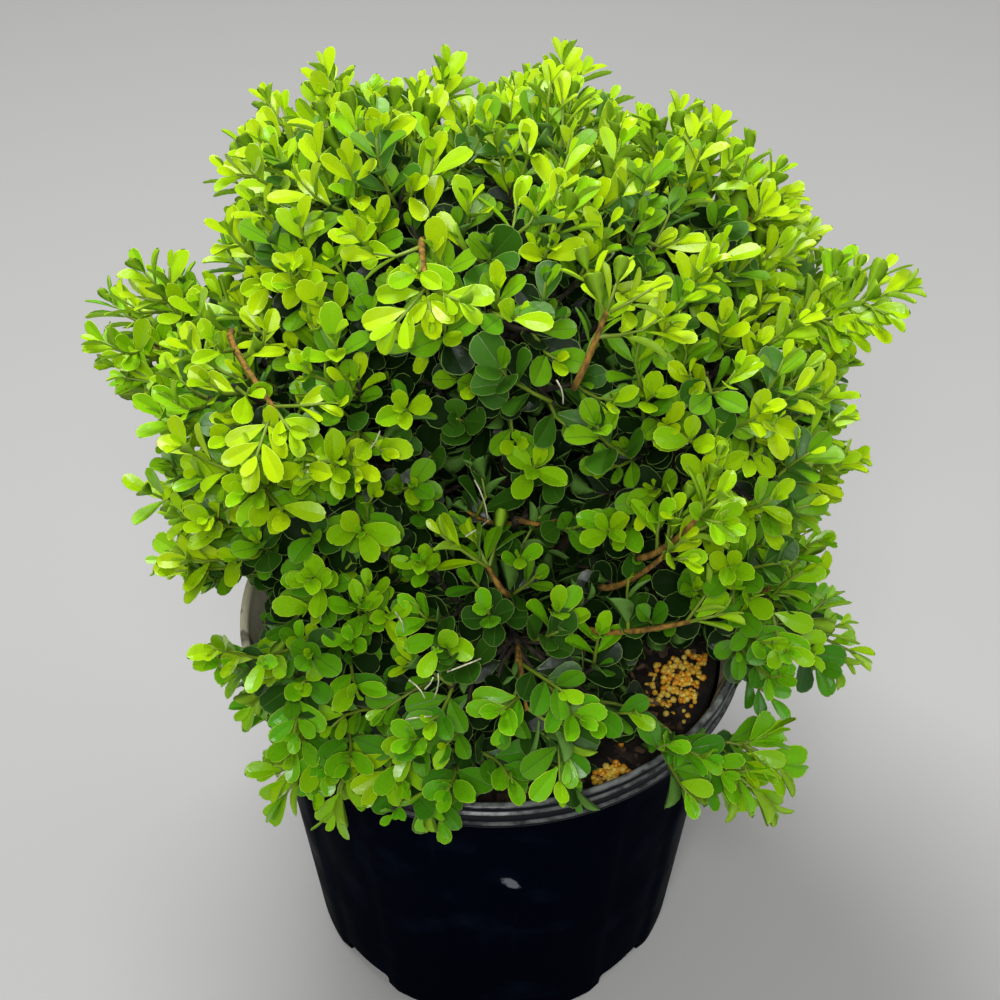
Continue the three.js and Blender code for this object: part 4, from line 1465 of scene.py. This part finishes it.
def make_prills(pot, colours):
    """Grains of slow fertiliser, thick in two places and thin elsewhere."""
    deselect()
    bpy.ops.mesh.primitive_ico_sphere_add(subdivisions=2, radius=0.5, location=(0, 0, 0))
    form = newest("prill_form")
    for vertex in form.data.vertices:
        vertex.co *= 1 + 0.10 * noise.noise(vertex.co * 3.1)
    frames, dealt = [], []
    for x, y, z, random in scatter_on_mix(pot, count=340, seed=911, clusters=HEAPS):
        size = pot.prill * (0.75 + 0.45 * random())
        middle = Vector((x, y, z + 0.3 * size + 0.0020 * random()))
        frames.append([middle, *lie(random, size)])
        dealt.append(int(3 * random()))
    piece = many("fertiliser_prills", arrays_of(form), frames, dealt_slots(dealt))
    pale = [c + 0.5 * (1 - c) * c + 0.05 * (1 - c) for c in colours.prill]
    deep = [c * share for c, share in zip(colours.prill, (0.85, 0.65, 0.4))]
    for i, colour in enumerate((pale, colours.prill, deep)):
        finish = mottled_finish(f"prill_finish_{i + 1}", colour, 0.3, 300, 0.15, 0.0001)
        piece.data.materials.append(finish)
    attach(piece, "root")


def make_limbs(crown, colours):
    """Trunk, stems and boughs with the relief of bark, over the frame's plain limbs."""
    sizes = crown.sizes
    trunk = crown.trunk()

    def trunk_radius(share, angle):
        flare = sizes.trunk_flare * (1 - share) ** 3 * (1 + 0.25 * math.cos(4 * angle))
        place = Vector((math.cos(angle) * 2.2, math.sin(angle) * 2.2, share * 3.0))
        ridges = noise.noise(place * 2.0) + 0.5 * noise.noise(place * 5.0)
        return sizes.trunk_radius + 0.002 * share + flare + 0.0011 * ridges

    finish = bark_finish("bark_finish", colours.bark, 190)
    piece = tube(trunk, trunk_radius, 48, 40, "trunk_bark")
    finish_limb(piece, finish, ["trunk"])

    def rough(limb, seed, depth):
        def radius_at(share, angle):
            place = Vector((math.cos(angle) * 1.6, math.sin(angle) * 1.6, share * 9.0 + seed))
            relief = noise.noise(place * 1.6) + 0.5 * noise.noise(place * 4.0)
            plain = limb.radius + (limb.tip_radius - limb.radius) * share
            return plain + depth * relief

        return radius_at

    stems = [
        tube(limb, rough(limb, 7 * i, 0.0006), 16, 26, "stem_part")
        for i, (_, limb) in enumerate(crown.stems)
    ]
    names = [f"stem_{i + 1}" for i in range(len(stems))]
    finish_limb(joined(stems, "stems_bark"), finish, names)
    boughs = []
    for i, mass in enumerate(crown.masses):
        limb = crown.bough(mass)
        boughs.append(tube(limb, rough(limb, 3 * i, 0.0004), 12, 18, "bough_part"))
    names = [f"bough_{mass.name}" for mass in crown.masses]
    finish_limb(joined(boughs, "boughs_bark"), finish, names)


def finish_limb(piece, material, nodes):
    """Close a piece of trunk or limbs, give it its bark, and let it stand for its nodes."""
    outward(piece)
    smooth(piece, 60)
    piece.data.materials.clear()
    piece.data.materials.append(material)
    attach(piece, "root")
    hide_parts(*nodes)


def slim_tubes(name, limbs, sides, step):
    """Many thin limbs as one joined mesh: closed tubes along their curves, thinner to the tip."""
    places, starts, corners, total = [], [], [], 0
    for limb in limbs:
        steps = max(2, int(limb.length / step))
        base = len(places)
        for i in range(steps + 1):
            share = i / steps
            ahead = limb.ahead(share)
            side = (Vector((1, 0, 0)) - ahead * ahead.x).normalized()
            other = ahead.cross(side)
            radius = limb.radius + (limb.tip_radius - limb.radius) * share
            middle = limb.at(share)
            for k in range(sides):
                angle = 2 * math.pi * k / sides
                places.append(middle + (side * math.cos(angle) + other * math.sin(angle)) * radius)
        for i in range(steps):
            for k in range(sides):
                a, b = base + i * sides + k, base + i * sides + (k + 1) % sides
                starts.append(total)
                corners += [a, b, b + sides, a + sides]
                total += 4
        for ring, ends in ((0, range(sides - 1, -1, -1)), (steps, range(sides))):
            starts.append(total)
            corners += [base + ring * sides + k for k in ends]
            total += sides
    return from_arrays(
        name, np.array(places), np.array(starts), np.array(corners), np.zeros(len(starts))
    )


def make_twigs(foliage, colours):
    """Brown twigs of earlier years, painted darker deep inside as shade, and green leafy shoots."""
    deep, outer = [], []
    for limb in foliage.twigs:
        (deep if foliage.skin.depth(limb.at(0.7)) > DEEP_WOOD_DEPTH else outer).append(limb)
    # Twigs deep in the crown get the bark at 0.4 of its colour: painted shade
    wood = slim_tubes("deep_shaded_twigs", deep, 6, 0.008)
    wood.data.materials.append(bark_finish("deep_twig_shade_finish", [0.4 * c for c in colours.bark], 420))
    twigs = slim_tubes("brown_twigs", outer, 6, 0.005)
    twigs.data.materials.append(bark_finish("twig_finish", colours.twig, 420))
    shoots = slim_tubes("green_shoots", foliage.shoots, 5, 0.009)
    shoots.data.materials.append(leaf_finish("shoot_finish", colours.shoot, 0.5))
    lines = [(Vector(line[:3]), Vector(line[3:])) for line in FIBRES]
    dry = [Limb(a, (a + b) / 2 + Vector((0.002, 0, 0.001)), b, 0.0004, 0.0003) for a, b in lines]
    fibres = slim_tubes("dry_fibres", dry, 5, 0.004)
    fibres.data.materials.append(bark_finish("dry_fibre_finish", colours.fibre, 300))
    for piece in (wood, twigs, shoots, fibres):
        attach(piece, "root")


# Half of a leaf's outline, from its root: share of its length, share of its width
LEAF_ROWS = [
    (0.0, 0.0), (0.15, 0.12), (0.38, 0.34), (0.62, 0.48), (0.81, 0.47), (0.935, 0.32),
    (0.995, 0.12),
]
# A leaf form's material slots
TOP, EDGE, UNDER, RIB = range(4)


def bend_leaf(leaf, sizes, cup, arch, twist, ribbed):
    """Draw a flat grid to a leaf's outline, with its sides cupped up and its tip arched down."""
    broad, last = sizes.width / sizes.length, len(LEAF_ROWS) - 1
    for vertex in leaf.data.vertices:
        column, row = round(2 * vertex.co.x), round(last * (vertex.co.y + 0.5))
        along, wide = LEAF_ROWS[row]
        rib = 0
        if ribbed and column == 0 and row > 0:
            half_rib = sizes.rib / sizes.length * (0.55 - 0.3 * along)
            rib = math.copysign(half_rib, vertex.co.x)
        if row == last and column == 0:
            along -= 0.012
        rise = cup * (wide / 0.5) * abs(column) * broad - arch * along**2 + 0.06 * along
        across = column * wide * broad + rib
        vertex.co = (across, along, rise + twist * column * along * wide)


def close_under(leaf, sizes):
    """Double a leaf's faces, turned over and a little lower inside the edge, as its underside."""
    bpy.ops.mesh.select_all(action="SELECT")
    bpy.ops.mesh.remove_doubles(threshold=1e-4)
    bpy.ops.mesh.select_all(action="SELECT")
    bpy.ops.mesh.duplicate()
    bpy.ops.mesh.flip_normals()
    shape = bmesh.from_edit_mesh(leaf.data)
    under = [face for face in shape.faces if face.select]
    for face in under:
        face.material_index = UNDER
    for vertex in {v for face in under for v in face.verts if not v.is_boundary}:
        vertex.co.z -= sizes.thickness / sizes.length
    bmesh.update_edit_mesh(leaf.data)


def inset_edge(leaf, sizes, ribbed):
    """Inset a pale edge into a leaf's top, and mark the narrow middle faces as its midrib."""
    shape = bmesh.from_edit_mesh(leaf.data)
    for face in shape.faces:
        face.select_set(face.material_index == TOP)
        narrow = max(abs(vertex.co.x) for vertex in face.verts) < sizes.rib / sizes.length
        if ribbed and narrow and face.select:
            face.material_index = RIB
    bmesh.update_edit_mesh(leaf.data)
    bpy.ops.mesh.inset(thickness=sizes.margin / sizes.length, depth=0, use_boundary=True)
    shape = bmesh.from_edit_mesh(leaf.data)
    for face in shape.faces:
        if face.material_index != UNDER and not face.select:
            face.material_index = EDGE
    bmesh.update_edit_mesh(leaf.data)


def select_crease(leaf, sizes, ribbed):
    """Select the vertices along a leaf's middle, where its halves meet in a sharp crease."""
    bpy.ops.mesh.select_all(action="DESELECT")
    bpy.ops.mesh.select_mode(type="VERT")
    shape = bmesh.from_edit_mesh(leaf.data)
    for vertex in shape.verts:
        vertex.select_set(abs(vertex.co.x) < (sizes.rib / sizes.length if ribbed else 1e-4))
    bmesh.update_edit_mesh(leaf.data)


def model_leaf(sizes, cup, arch, twist, ribbed):
    """One leaf of a length of 1: a bent grid with its edge inset and its underside closed.

    A ribbed leaf has a third column of faces, a narrow midrib.
    """
    deselect()
    bpy.ops.mesh.primitive_grid_add(
        x_subdivisions=3 if ribbed else 2, y_subdivisions=len(LEAF_ROWS) - 1,
        size=1, location=(0, 0, 0),
    )
    leaf = newest("leaf_form")
    bend_leaf(leaf, sizes, cup, arch, twist, ribbed)
    bpy.ops.object.mode_set(mode="EDIT")
    close_under(leaf, sizes)
    inset_edge(leaf, sizes, ribbed)
    bpy.ops.mesh.select_all(action="SELECT")
    bpy.ops.mesh.remove_doubles(threshold=1e-4)
    select_crease(leaf, sizes, ribbed)
    bpy.ops.object.mode_set(mode="OBJECT")
    return arrays_of(leaf, creased=True)


def make_leaves(crown, foliage, sizes, colours):
    """All leaves, joined by tier and by age, each spray in one of its age's shades."""
    young_under = leaf_finish("young_underside_finish", colours.young_underside, 0.55, 0.3)
    old_under = leaf_finish("leaf_underside_finish", colours.underside, 0.6, 0.3)
    young_edge = leaf_finish("young_margin_finish", colours.young_margin, 0.5, 0.4)
    old_edge = leaf_finish("leaf_margin_finish", colours.margin, 0.5, 0.4)
    rib = leaf_finish("leaf_rib_finish", colours.rib, 0.4, 0.3)
    for age, shades in LEAF_SHADES.items():
        forms = []
        for ribbed in (True, False):
            forms += [model_leaf(sizes, *bends, ribbed) for bends in LEAF_FORMS]
        edge, under = (young_edge, young_under) if age == "young" else (old_edge, old_under)
        # For old leaves the last top finish is the near-black painted shade of deep leaves
        tops = [
            leaf_finish(f"{age}_leaf_finish_{i + 1}", shade, *LEAF_GLOSSES[age])
            for i, shade in enumerate(shades)
        ]
        for tier in TIERS:
            leaves = [leaf for leaf in foliage.leaves if (leaf.tier, leaf.age) == (tier, age)]
            parts = []
            for i, form in enumerate(forms):
                alike = [leaf for leaf in leaves if leaf.form == i]
                if alike:
                    parts.append(leaf_copies(form, alike, len(shades)))
                    for material in (*tops, edge, under, rib):
                        parts[-1].data.materials.append(material)
            if not parts:
                continue
            piece = joined(parts, f"{age}_leaves_{tier}")
            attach(piece, "root")
            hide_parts(*[f"leaves_{m.name}" for m in crown.masses if m.tier == tier])


def leaf_copies(form, leaves, shades):
    """Copies of one leaf form, each with its top in its spray's shade.

    The shades take the first slots, and edge, underside and midrib follow.
    """
    frames = []
    for leaf in leaves:
        normal = leaf.across.cross(leaf.heads)
        across = leaf.across * (leaf.length * leaf.broad)
        frames.append([leaf.root, across, leaf.heads * leaf.length, normal * leaf.length])
    dealt = np.array([leaf.shade for leaf in leaves])

    def slot_of(slots, count):
        part = np.tile(slots, (count, 1))
        return np.where(part == TOP, dealt[:, None], part + shades - 1)

    return many("leaf_part", form, frames, slot_of)


# Area lights: name, place, size in metres and power in watts
LIGHTS = [
    ("key_light", (-0.4, 0.45, 1.95), 0.8, 31), ("front_light", (-0.06, -1.24, 1.6), 0.5, 16),
    ("side_light", (1.6, 0.3, 1.2), 1.2, 10),
]
LIT_SPOT = Vector((0, 0, 0.33))
FLOOR_COLOUR = (0.47, 0.47, 0.465)
SKY_COLOUR, SKY_STRENGTH = (1.0, 0.99, 0.95), 0.21
CAMERA_TILT = math.radians(46)
CAMERA_LENS, CAMERA_SENSOR = 72, 36


def make_stage():
    """A pale floor, soft studio light and the camera."""
    deselect()
    bpy.ops.mesh.primitive_plane_add(size=40, location=(0, 2, -0.0005))
    floor = newest("studio_floor")
    apply_place(floor)
    material, tree, shader, places = bare_finish("studio_floor_finish", FLOOR_COLOUR, 0.8)
    gloss = spread_over(tree, grain(tree, places, 3, 3), 0.3, 0.7, 0.72, 0.86)
    tree.links.new(gloss, shader.inputs["Roughness"])
    floor.data.materials.append(material)
    for name, place, size, power in LIGHTS:
        deselect()
        bpy.ops.object.light_add(type="AREA", location=place)
        lamp = newest(name)
        lamp.data.size, lamp.data.energy = size, power
        aim = LIT_SPOT - Vector(place)
        lamp.rotation_euler = aim.to_track_quat("-Z", "Y").to_euler()
    world = bpy.data.worlds.new("studio_world")
    world.use_nodes = True
    sky = world.node_tree.nodes["Background"]
    sky.inputs["Color"].default_value = (*SKY_COLOUR, 1)
    sky.inputs["Strength"].default_value = SKY_STRENGTH
    bpy.context.scene.world = world
    deselect()
    bpy.ops.object.camera_add(location=EYE, rotation=(CAMERA_TILT, 0, 0))
    camera = newest("studio_camera")
    camera.data.lens, camera.data.sensor_width = CAMERA_LENS, CAMERA_SENSOR
    camera.data.clip_start = 0.02
    bpy.context.scene.camera = camera
    bpy.context.scene.view_settings.view_transform = "Standard"


# Add-on

grown = {}


def crown_of(scene):
    """The crown and its foliage, grown once and shared by the operators."""
    if "crown" not in grown:
        grown["crown"] = Crown(scene.boxwood_pot, scene.boxwood_crown)
        grown["foliage"] = Foliage(grown["crown"], scene.boxwood_leaf)
    return grown["crown"], grown["foliage"]


class BOXWOOD_OT_pot(bpy.types.Operator):
    """Draw up the nursery pot, press its flutes and cut its drain notches"""

    bl_idname = "boxwood.pot"
    bl_label = "Nursery Pot"
    bl_options = {"REGISTER", "UNDO"}

    def execute(self, context):
        make_pot(context.scene.boxwood_pot, context.scene.boxwood_colours)
        return {"FINISHED"}


class BOXWOOD_OT_potting_mix(bpy.types.Operator):
    """Fill the pot with mix, and strew bark chips and fertiliser on it"""

    bl_idname = "boxwood.potting_mix"
    bl_label = "Potting Mix"
    bl_options = {"REGISTER", "UNDO"}

    def execute(self, context):
        pot, colours = context.scene.boxwood_pot, context.scene.boxwood_colours
        make_mix(pot, colours)
        make_chips(pot, colours)
        make_prills(pot, colours)
        return {"FINISHED"}


class BOXWOOD_OT_limbs(bpy.types.Operator):
    """Lay bark over the trunk, the stems and the boughs"""

    bl_idname = "boxwood.limbs"
    bl_label = "Trunk, Stems and Boughs"
    bl_options = {"REGISTER", "UNDO"}

    def execute(self, context):
        make_limbs(crown_of(context.scene)[0], context.scene.boxwood_colours)
        return {"FINISHED"}


class BOXWOOD_OT_twigs(bpy.types.Operator):
    """Grow the brown twigs and the green shoots of every mass"""

    bl_idname = "boxwood.twigs"
    bl_label = "Twigs and Shoots"
    bl_options = {"REGISTER", "UNDO"}

    def execute(self, context):
        make_twigs(crown_of(context.scene)[1], context.scene.boxwood_colours)
        return {"FINISHED"}


class BOXWOOD_OT_leaves(bpy.types.Operator):
    """Set opposite leaves on every shoot, by tier and by age"""

    bl_idname = "boxwood.leaves"
    bl_label = "Leaves"
    bl_options = {"REGISTER", "UNDO"}

    def execute(self, context):
        scene = context.scene
        crown, foliage = crown_of(scene)
        make_leaves(crown, foliage, scene.boxwood_leaf, scene.boxwood_colours)
        return {"FINISHED"}


class BOXWOOD_OT_stage(bpy.types.Operator):
    """Set out the floor, the studio lights and the camera"""

    bl_idname = "boxwood.stage"
    bl_label = "Studio"
    bl_options = {"REGISTER", "UNDO"}

    def execute(self, context):
        make_stage()
        return {"FINISHED"}


class BOXWOOD_PT_panel(bpy.types.Panel):
    """Sizes, colours and pieces of the potted boxwood"""

    bl_idname = "BOXWOOD_PT_panel"
    bl_label = "Potted Boxwood"
    bl_space_type = "VIEW_3D"
    bl_region_type = "UI"
    bl_category = "Boxwood"

    def draw(self, context):
        for title, group in (
            ("Pot", context.scene.boxwood_pot), ("Crown", context.scene.boxwood_crown),
            ("Leaf", context.scene.boxwood_leaf), ("Colours", context.scene.boxwood_colours),
        ):
            box = self.layout.box()
            box.label(text=title)
            for name in group.__annotations__:
                box.prop(group, name)
        for operator in OPERATORS:
            self.layout.operator(operator.bl_idname)


GROUPS = {
    "boxwood_pot": PotSizes, "boxwood_crown": CrownSizes,
    "boxwood_leaf": LeafSizes, "boxwood_colours": Colours,
}
OPERATORS = [
    BOXWOOD_OT_pot, BOXWOOD_OT_potting_mix, BOXWOOD_OT_limbs, BOXWOOD_OT_twigs,
    BOXWOOD_OT_leaves, BOXWOOD_OT_stage,
]


def register():
    for group in GROUPS.values():
        bpy.utils.register_class(group)
    for name, group in GROUPS.items():
        setattr(bpy.types.Scene, name, PointerProperty(type=group))
    for operator in OPERATORS:
        bpy.utils.register_class(operator)
    bpy.utils.register_class(BOXWOOD_PT_panel)


def unregister():
    bpy.utils.unregister_class(BOXWOOD_PT_panel)
    for operator in reversed(OPERATORS):
        bpy.utils.unregister_class(operator)
    for name in GROUPS:
        delattr(bpy.types.Scene, name)
    for group in reversed(list(GROUPS.values())):
        bpy.utils.unregister_class(group)


def main():
    register()
    bpy.ops.boxwood.pot()
    bpy.ops.boxwood.potting_mix()
    bpy.ops.boxwood.limbs()
    bpy.ops.boxwood.twigs()
    bpy.ops.boxwood.leaves()
    bpy.ops.boxwood.stage()
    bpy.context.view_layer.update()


if __name__ == "__main__":
    main()
